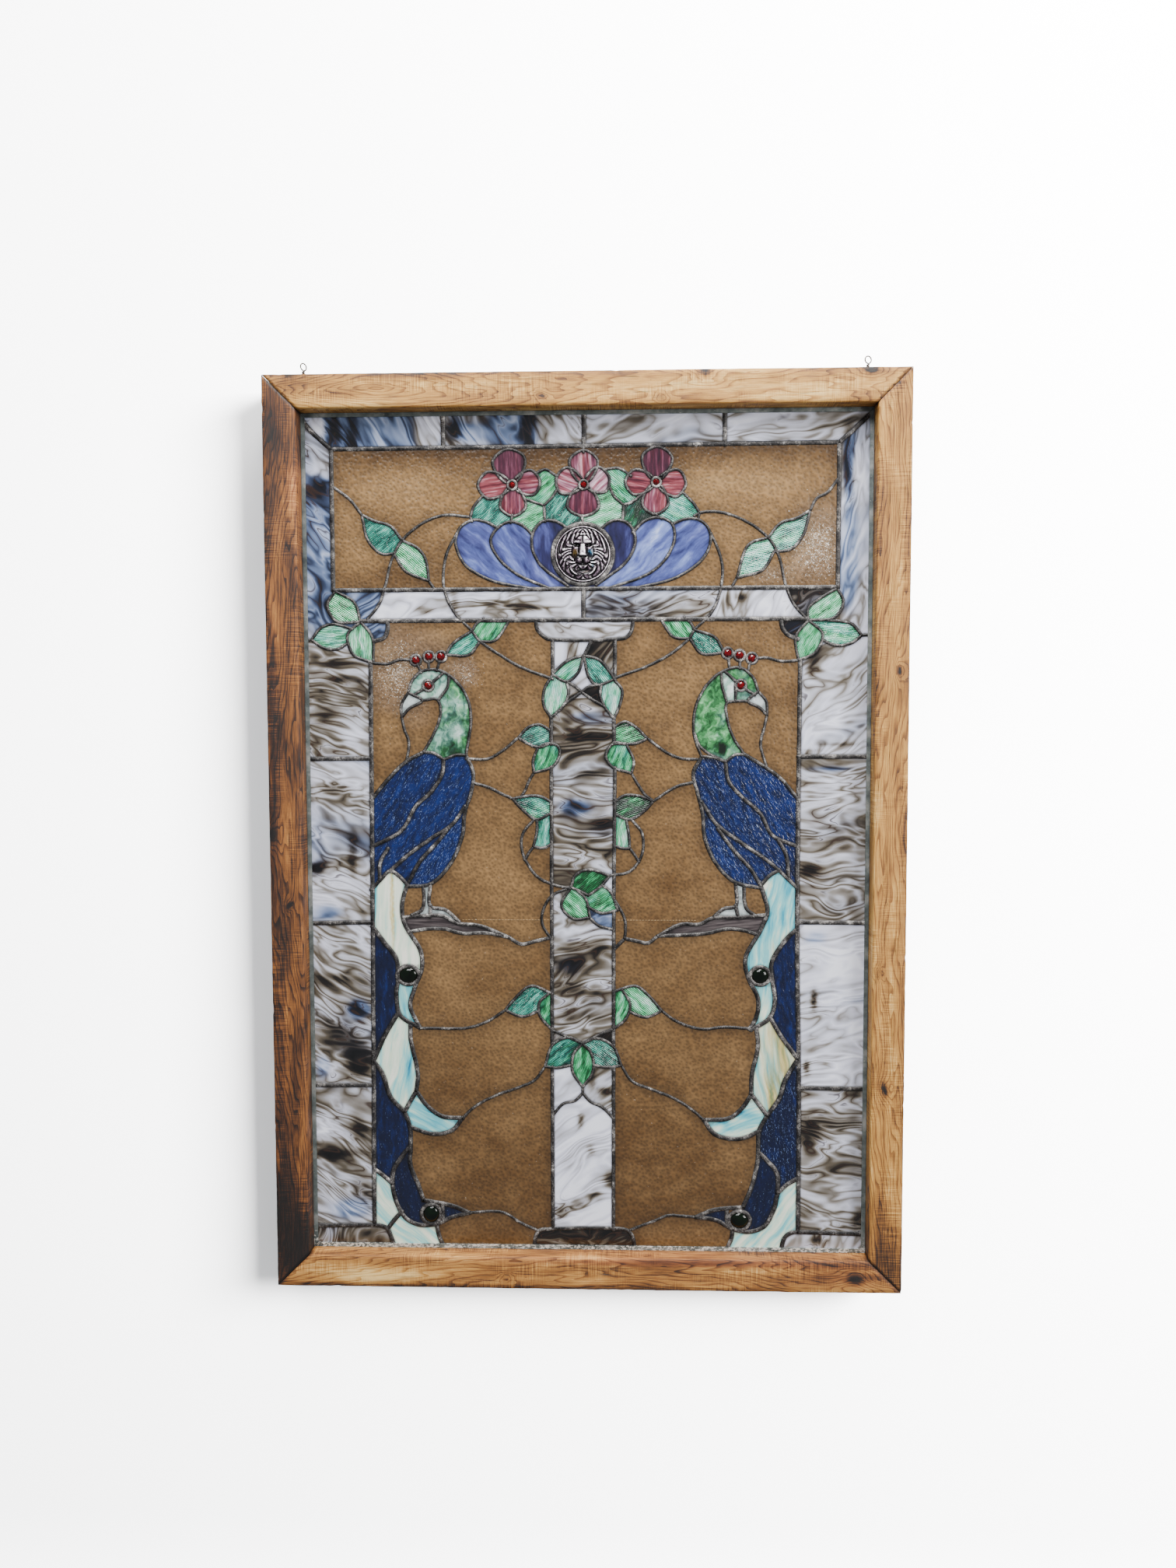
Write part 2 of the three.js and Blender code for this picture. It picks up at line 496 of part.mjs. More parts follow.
/** A three.js geometry from a manifold solid, with flat facets. */
function geometryOf(body) {
  const { vertProperties, triVerts } = body.getMesh();
  const geometry = new THREE.BufferGeometry();
  geometry.setAttribute('position', new THREE.BufferAttribute(new Float32Array(vertProperties), 3));
  geometry.setIndex(new THREE.BufferAttribute(new Uint32Array(triVerts), 1));
  const faceted = geometry.toNonIndexed();
  faceted.computeVertexNormals();
  return faceted;
}

/** The same open line, with both of its ends drawn out along it. */
function lengthened(path) {
  const drawnOut = (end, inner) => {
    const outward = new THREE.Vector3().subVectors(end, inner).setLength(END_REACH);
    return outward.add(end);
  };
  const last = path.length - 1;
  return [drawnOut(path[0], path[1]), ...path.slice(1, last), drawnOut(path[last], path[last - 1])];
}

/** A flat bar between two depths that follows a line of the panel, mitred at its bends. */
function ribbon(path, width, [front, back], closed) {
  const count = path.length;
  const vertices = [];
  for (let i = 0; i < count; i += 1) {
    const before = path[closed ? (i + count - 1) % count : Math.max(i - 1, 0)];
    const after = path[closed ? (i + 1) % count : Math.min(i + 1, count - 1)];
    const here = path[i];
    const arriving = new THREE.Vector3().subVectors(here, before).normalize();
    const leaving = new THREE.Vector3().subVectors(after, here).normalize();
    const heading = new THREE.Vector3().addVectors(arriving, leaving).normalize();
    const side = new THREE.Vector3(-heading.z, 0, heading.x);
    const straight = arriving.lengthSq() > 0 ? arriving : leaving;
    const cosine = Math.max(heading.dot(straight), SHARPEST_MITRE);
    const reach = width / 2 / cosine;
    for (const [sign, y] of [[1, front], [-1, front], [-1, back], [1, back]]) {
      vertices.push(here.x + sign * reach * side.x, y, here.z + sign * reach * side.z);
    }
  }
  const triangles = [];
  const quad = (a, b, c, d) => triangles.push(a, b, c, a, c, d);
  const spans = closed ? count : count - 1;
  for (let i = 0; i < spans; i += 1) {
    const here = 4 * i;
    const next = 4 * ((i + 1) % count);
    for (let k = 0; k < 4; k += 1) {
      const turn = (k + 1) % 4;
      quad(here + k, here + turn, next + turn, next + k);
    }
  }
  if (!closed) {
    const end = 4 * (count - 1);
    quad(3, 2, 1, 0);
    quad(end, end + 1, end + 2, end + 3);
  }
  return new wasm.Manifold(new wasm.Mesh({
    numProp: 3,
    vertProperties: new Float32Array(vertices),
    triVerts: new Uint32Array(triangles),
  }));
}

/** A box between two corners. */
function block(low, high) {
  const size = high.map((value, i) => value - low[i]);
  const middle = high.map((value, i) => (value + low[i]) / 2);
  return solid(new THREE.BoxGeometry(...size).translate(...middle));
}

// ---- Leads and glass ----------------------------------------------------------------------------

/** The lead round one of the small red jewels. */
function ringLead(x, z, radius) {
  return { path: circle(x, z, radius, radius, SMALL_RING_SIDES), width: THIN_LEAD, closed: true };
}

/** The lead round the medallion or a nugget. */
function seatLead({ x, z, halfWidth, halfHeight }, width) {
  const path = circle(x, z, halfWidth + width / 2, halfHeight + width / 2, SEAT_SIDES);
  return { path, width, closed: true };
}

/** Every lead of the panel as a line with a width. */
function leadLines() {
  const leads = [];
  for (const { width, lines } of PATTERN) {
    for (const flat of lines) {
      leads.push({ path: lengthened(smoothLine(pairs(flat))), width, closed: false });
    }
  }
  for (const { x, z, petals } of FLOWERS) {
    for (const shape of petals) {
      leads.push({ path: petal(x, z, shape), width: THIN_LEAD, closed: true });
    }
    leads.push(ringLead(x, z, FLOWER_RING_RADIUS));
  }
  for (const [x, z] of [...CREST_JEWELS, ...EYES]) {
    leads.push(ringLead(x, z, JEWEL_RING_RADIUS));
  }
  for (const nugget of Object.values(NUGGETS)) {
    leads.push(seatLead(nugget, NUGGET_LEAD));
  }
  return [...leads, seatLead(LION, MEDALLION_LEAD)];
}

/** All leads in one solid, each wider than its own width by the given amount. */
function network(leads, wider, depths) {
  const ribbons = leads.map(({ path, width, closed }) => ribbon(path, width + wider, depths, closed));
  return wasm.Manifold.union(ribbons);
}

/** True if the point of the panel lies within the solid's front face. */
function covers(body, x, z) {
  const { min, max } = body.boundingBox();
  if (x < min[0] || x > max[0] || z < min[2] || z > max[2]) {
    return false;
  }
  const { vertProperties, triVerts } = body.getMesh();
  const corner = (index) => {
    const start = 3 * triVerts[index];
    return new THREE.Vector3(vertProperties[start], vertProperties[start + 1], vertProperties[start + 2]);
  };
  for (let i = 0; i < triVerts.length; i += 3) {
    const triangle = new THREE.Triangle(corner(i), corner(i + 1), corner(i + 2));
    const corners = [triangle.a, triangle.b, triangle.c];
    const onFront = corners.every(({ y }) => Math.abs(y - min[1]) < WELD_DISTANCE);
    if (onFront && triangle.containsPoint(new THREE.Vector3(x, min[1], z))) {
      return true;
    }
  }
  return false;
}

const glassHalfWidth = openingHalfWidth + cameSunk - CAME_WALL - GAP;
const glassHalfHeight = openingHalfHeight + cameSunk - CAME_WALL - GAP;

/** A sheet between two depths, as wide and high as the glass in its edge came. */
function sheet([front, back]) {
  return block([-glassHalfWidth, front, -glassHalfHeight], [glassHalfWidth, back, glassHalfHeight]);
}

/** A solid without the corners and facets that its shape doesn't need. */
function tidied(body) {
  return body.asOriginal().simplify(MERGE_TOLERANCE);
}

/** The hole through the leads that a round jewel is set in. */
function seat({ x, z, halfWidth, halfHeight }, reach) {
  const hole = new THREE.CylinderGeometry(1, 1, 2 * reach, SEAT_SIDES);
  return solid(hole.scale(halfWidth, 1, halfHeight).translate(x, 0, z));
}

/** The named panes, and the leads with all the small panes soldered into them. */
function cutGlass() {
  const glassDepths = [-GLASS_THICKNESS / 2, GLASS_THICKNESS / 2];
  const leadDepths = [glassDepths[0] - LEAD_PROUD, glassDepths[1]];
  const cutDepths = [2 * leadDepths[0], -2 * leadDepths[0]];
  const leads = leadLines();
  const loose = sheet(glassDepths).subtract(network(leads, 2 * GAP, cutDepths)).decompose();
  const panes = {};
  for (const [name, [x, z]] of Object.entries(PANES)) {
    const found = loose.find((body) => covers(body, x, z));
    if (!found) {
      throw new Error(`no pane at ${name}`);
    }
    panes[name] = tidied(found);
  }
  const jewels = [LION, ...Object.values(NUGGETS)];
  const taken = [...Object.values(PANES), ...jewels.map(({ x, z }) => [x, z])];
  const smallest = SMALLEST_RECESS * (leadDepths[1] - leadDepths[0]);
  const soldered = sheet(leadDepths)
    .subtract(network(leads, -2 * LEAD_BITE, cutDepths))
    .decompose()
    .filter((body) => !taken.some(([x, z]) => covers(body, x, z)))
    .map((body) => (body.volume() < smallest ? body : body.intersect(sheet(glassDepths))));
  const reachX = openingHalfWidth - CAME_SHOWING - GAP;
  const reachZ = openingHalfHeight - CAME_SHOWING - GAP;
  const daylight = block([-reachX, cutDepths[0], -reachZ], [reachX, cutDepths[1], reachZ]);
  const bars = network(leads, 0, leadDepths).intersect(daylight);
  const seats = wasm.Manifold.union(jewels.map((jewel) => seat(jewel, cutDepths[1])));
  return { panes, leading: tidied(wasm.Manifold.union([bars, ...soldered]).subtract(seats)) };
}

// ---- Jewels -------------------------------------------------------------------------------------

/** A lion mask in low relief on a round dome: height above the rim at a point of the unit disc. */
function lionRelief(u, v) {
  const radius = Math.hypot(u, v);
  const { locks, height, from } = LION_MANE;
  let relief = LION_DOME * (1 - radius * radius);
  if (radius > from && radius < 1) {
    relief += height * Math.cos(locks * Math.atan2(v, u)) * Math.sin(Math.PI * radius);
  }
  for (const feature of LION_FEATURES) {
    const across = (u - feature.at[0]) / feature.spread[0];
    const up = (v - feature.at[1]) / feature.spread[1];
    relief += feature.height * Math.exp(-(across * across + up * up));
  }
  return Math.max(relief, 0);
}

/** The round pressed-glass jewel with the lion mask. */
function medallion({ halfWidth }) {
  const radius = halfWidth - 2 * GAP;
  const rings = MEDALLION_RINGS;
  const sides = SEAT_SIDES;
  const positions = [];
  const triangles = [];
  const addDisc = (heightAt) => {
    const start = positions.length / 3;
    positions.push(0, heightAt(0, 0), 0);
    for (let ring = 1; ring <= rings; ring += 1) {
      for (let side = 0; side < sides; side += 1) {
        const angle = (2 * Math.PI * side) / sides;
        const u = (ring / rings) * Math.cos(angle);
        const v = (ring / rings) * Math.sin(angle);
        positions.push(radius * u, heightAt(u, v), radius * v);
      }
    }
    return start;
  };
  const front = addDisc((u, v) => -GLASS_THICKNESS / 2 - MEDALLION_DOME * lionRelief(u, v));
  const back = positions.length / 3;
  positions.push(0, GLASS_THICKNESS / 2, 0);
  for (let side = 0; side < sides; side += 1) {
    const angle = (2 * Math.PI * side) / sides;
    positions.push(radius * Math.cos(angle), GLASS_THICKNESS / 2, radius * Math.sin(angle));
  }
  const ringStart = (ring) => front + 1 + (ring - 1) * sides;
  for (let side = 0; side < sides; side += 1) {
    const next = (side + 1) % sides;
    triangles.push(front, ringStart(1) + side, ringStart(1) + next);
    for (let ring = 1; ring < rings; ring += 1) {
      const inner = ringStart(ring);
      const outer = ringStart(ring + 1);
      triangles.push(inner + side, outer + side, outer + next, inner + side, outer + next, inner + next);
    }
    const rim = ringStart(rings);
    const edge = back + 1;
    triangles.push(rim + side, edge + side, edge + next, rim + side, edge + next, rim + next);
    triangles.push(back, edge + next, edge + side);
  }
  const geometry = new THREE.BufferGeometry();
  geometry.setAttribute('position', new THREE.BufferAttribute(new Float32Array(positions), 3));
  geometry.setIndex(triangles);
  return geometry;
}

/** A glass nugget: flat behind, domed in front. */
function nugget({ halfWidth, halfHeight }) {
  const section = NUGGET_SECTION.map(([radius, depth]) => new THREE.Vector2(radius, depth));
  return new THREE.LatheGeometry(section, NUGGET_SIDES).scale(halfWidth - 2 * GAP, 1, halfHeight - 2 * GAP);
}

// ---- Came, frame and hardware -------------------------------------------------------------------

/** Cuts a bar that runs along X, on the +Z side of the panel, to 45 degree mitres at both ends. */
function mitred(body, halfLength, outerZ) {
  const far = 2 * halfLength;
  const corner = halfLength - outerZ;
  let result = body;
  for (const side of [-1, 1]) {
    const wedge = new THREE.Shape([
      new THREE.Vector2(side * (corner - far - GAP), -far),
      new THREE.Vector2(side * (corner + far - GAP), far),
      new THREE.Vector2(side * (corner + 3 * far), far),
      new THREE.Vector2(side * (corner + 3 * far), -far),
    ]);
    const cutter = new THREE.ExtrudeGeometry(wedge, { depth: 4 * FRAME_DEPTH, bevelEnabled: false });
    cutter.translate(0, 0, -2 * FRAME_DEPTH).rotateX(Math.PI / 2);
    result = result.subtract(solid(cutter));
  }
  return result;
}

/** One length of U-shaped edge came, along X, with its channel towards -Z. */
function came(halfLength, outerZ) {
  const halfThick = cameThickness / 2;
  const outside = block([-halfLength, -halfThick, outerZ - CAME_FACE], [halfLength, halfThick, outerZ]);
  const channel = block(
    [-2 * halfLength, -cameChannel / 2, outerZ - 2 * CAME_FACE],
    [2 * halfLength, cameChannel / 2, outerZ - CAME_WALL],
  );
  return mitred(outside.subtract(channel), halfLength, outerZ);
}

/** One rail of the frame, along X, with the groove that the edge came sits in. */
function rail(halfLength, outerZ) {
  const front = -PANEL_SETBACK;
  const back = FRAME_DEPTH - PANEL_SETBACK;
  const wood = block([-halfLength, front, outerZ - RAIL_FACE], [halfLength, back, outerZ]);
  const halfGroove = cameThickness / 2 + GAP;
  const inner = outerZ - RAIL_FACE;
  const groove = block(
    [-2 * halfLength, -halfGroove, inner - OVERSHOOT],
    [2 * halfLength, halfGroove, inner + cameSunk + GAP],
  );
  return mitred(wood.subtract(groove), halfLength, outerZ);
}

/** A screw eye: a closed ring with its shank pointing down. */
function screwEye() {
  const ring = new THREE.TorusGeometry(EYE_RING_RADIUS, EYE_WIRE_RADIUS, EYE_WIRE_SIDES, EYE_RING_SIDES);
  const shank = new THREE.CylinderGeometry(EYE_WIRE_RADIUS, EYE_WIRE_RADIUS, EYE_SHANK, EYE_WIRE_SIDES);
  return solid(ring).add(solid(shank.translate(0, -EYE_RING_RADIUS - EYE_SHANK / 2, 0)));
}

/** A leftover of hanging wire, wound round the foot of a screw eye: a tube through the points. */
function wire(points) {
  const corners = points.map((point) => new THREE.Vector3(...point));
  const extrudePath = new THREE.CatmullRomCurve3(corners, false, 'centripetal');
  const rim = circle(0, 0, WIRE_RADIUS, WIRE_RADIUS, WIRE_SIDES);
  const section = new THREE.Shape(rim.map(({ x, z }) => new THREE.Vector2(x, z)));
  return new THREE.ExtrudeGeometry(section, { extrudePath, steps: 2 * points.length, bevelEnabled: false });
}

// ---- Assembly -----------------------------------------------------------------------------------

const stainedGlassWindow = new THREE.Group();
const panel = new THREE.Group();
panel.position.set(0, panelY, panelZ);
stainedGlassWindow.add(panel);

/** Adds one named piece to a group. */
function place(group, name, geometry, finish) {
  const mesh = new THREE.Mesh(geometry, new THREE.MeshStandardMaterial({ ...finish }));
  mesh.name = name;
  group.add(mesh);
  return mesh;
}

const sides = [
  { name: 'top', turn: 0, halfLength: FRAME_WIDTH / 2, outerZ: FRAME_HEIGHT / 2 },
  { name: 'left', turn: -Math.PI / 2, halfLength: FRAME_HEIGHT / 2, outerZ: FRAME_WIDTH / 2 },
  { name: 'bottom', turn: Math.PI, halfLength: FRAME_WIDTH / 2, outerZ: FRAME_HEIGHT / 2 },
  { name: 'right', turn: Math.PI / 2, halfLength: FRAME_HEIGHT / 2, outerZ: FRAME_WIDTH / 2 },
];
const eyeY = EYE_SETBACK - PANEL_SETBACK;
const eyeZ = FRAME_HEIGHT / 2 + EYE_SHANK - EYE_EMBEDDED + EYE_RING_RADIUS;
for (const { name, turn, halfLength, outerZ } of sides) {
  let wood = rail(halfLength, outerZ);
  if (name === 'top') {
    for (const x of [EYE_LEFT_X, EYE_RIGHT_X]) {
      const radius = EYE_WIRE_RADIUS + 2 * GAP;
      const hole = new THREE.CylinderGeometry(radius, radius, 2 * (EYE_EMBEDDED + GAP), EYE_WIRE_SIDES);
      wood = wood.subtract(solid(hole.rotateX(Math.PI / 2).translate(x, eyeY, FRAME_HEIGHT / 2)));
    }
  }
  place(panel, `frame_${name}`, geometryOf(wood), FINISHES.wood).rotation.y = turn;
  const inset = RAIL_FACE - cameSunk;
  const edge = came(halfLength - inset, outerZ - inset);
  place(panel, `edge_came_${name}`, geometryOf(edge), FINISHES.zinc).rotation.y = turn;
}

const { panes, leading } = cutGlass();
place(panel, 'leading', geometryOf(leading), FINISHES.lead);
for (const [name, body] of Object.entries(panes)) {
  const [, , color] = PANES[name];
  place(panel, `pane_${name}`, geometryOf(body), { ...FINISHES.glass, color });
}
place(panel, 'lion_medallion', medallion(LION), FINISHES.pressedGlass).position.set(LION.x, 0, LION.z);
for (const [name, jewel] of Object.entries(NUGGETS)) {
  place(panel, name, nugget(jewel), FINISHES.nugget).position.set(jewel.x, 0, jewel.z);
}

const hangers = [['left', EYE_LEFT_X, WIRE_LEFT], ['right', EYE_RIGHT_X, WIRE_RIGHT]];
for (const [side, x, route] of hangers) {
  const hanger = new THREE.Group();
  hanger.position.set(x, eyeY, eyeZ);
  panel.add(hanger);
  place(hanger, `screw_eye_${side}`, geometryOf(screwEye()), FINISHES.steel).rotation.x = Math.PI / 2;
  place(hanger, `hanging_wire_${side}`, wire(route), FINISHES.steel);
}

export default stainedGlassWindow;
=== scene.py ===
"""The looks of a leaded picture window: two peacocks by a column, a bowl of flowers and a marbled border.

Sizes are in millimetres in the plane of the panel, from its middle, and turn into metres of the row frame
where meshes are made.
"""

import json
import logging
import math
from collections.abc import Iterable, Sequence
from dataclasses import dataclass, field
from enum import Enum

import bmesh
import bpy
import numpy as np
from mathutils import Matrix, Vector, kdtree, noise
from mathutils.geometry import delaunay_2d_cdt

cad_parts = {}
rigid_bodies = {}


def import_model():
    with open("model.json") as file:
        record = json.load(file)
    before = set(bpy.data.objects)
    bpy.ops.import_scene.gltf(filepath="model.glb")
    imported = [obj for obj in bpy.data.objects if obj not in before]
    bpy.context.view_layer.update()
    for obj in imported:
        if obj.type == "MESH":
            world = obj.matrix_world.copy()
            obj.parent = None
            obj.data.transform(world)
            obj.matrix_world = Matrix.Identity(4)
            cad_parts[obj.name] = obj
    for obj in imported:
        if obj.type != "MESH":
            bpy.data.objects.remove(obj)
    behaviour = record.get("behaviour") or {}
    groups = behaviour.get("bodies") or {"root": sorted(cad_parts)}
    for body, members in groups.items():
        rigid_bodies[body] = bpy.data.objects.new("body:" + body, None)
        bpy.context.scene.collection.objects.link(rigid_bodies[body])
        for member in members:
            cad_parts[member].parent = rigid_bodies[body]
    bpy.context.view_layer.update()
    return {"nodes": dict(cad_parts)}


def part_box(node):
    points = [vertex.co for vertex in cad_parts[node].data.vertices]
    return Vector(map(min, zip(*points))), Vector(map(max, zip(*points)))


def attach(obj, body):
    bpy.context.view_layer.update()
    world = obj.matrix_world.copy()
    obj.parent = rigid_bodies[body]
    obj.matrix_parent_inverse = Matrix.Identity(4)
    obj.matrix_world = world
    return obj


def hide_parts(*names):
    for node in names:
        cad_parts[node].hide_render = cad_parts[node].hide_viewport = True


LOG = logging.getLogger("window")
MM = 0.001


class Lead(Enum):
    """How wide a soldered line is, in millimetres."""

    THIN = 3.0
    PLAIN = 4.0
    HEAVY = 4.8


@dataclass(frozen=True)
class LeadGroup:
    """Lead lines of one width. Each is smooth through its x, z pairs."""

    name: str
    width: Lead
    lines: tuple[tuple[float, ...], ...]


@dataclass(frozen=True)
class Flower:
    """A flower: where its jewel sits, and each petal's direction in degrees, length and width."""

    x: float
    z: float
    petals: tuple[tuple[float, float, float], ...]


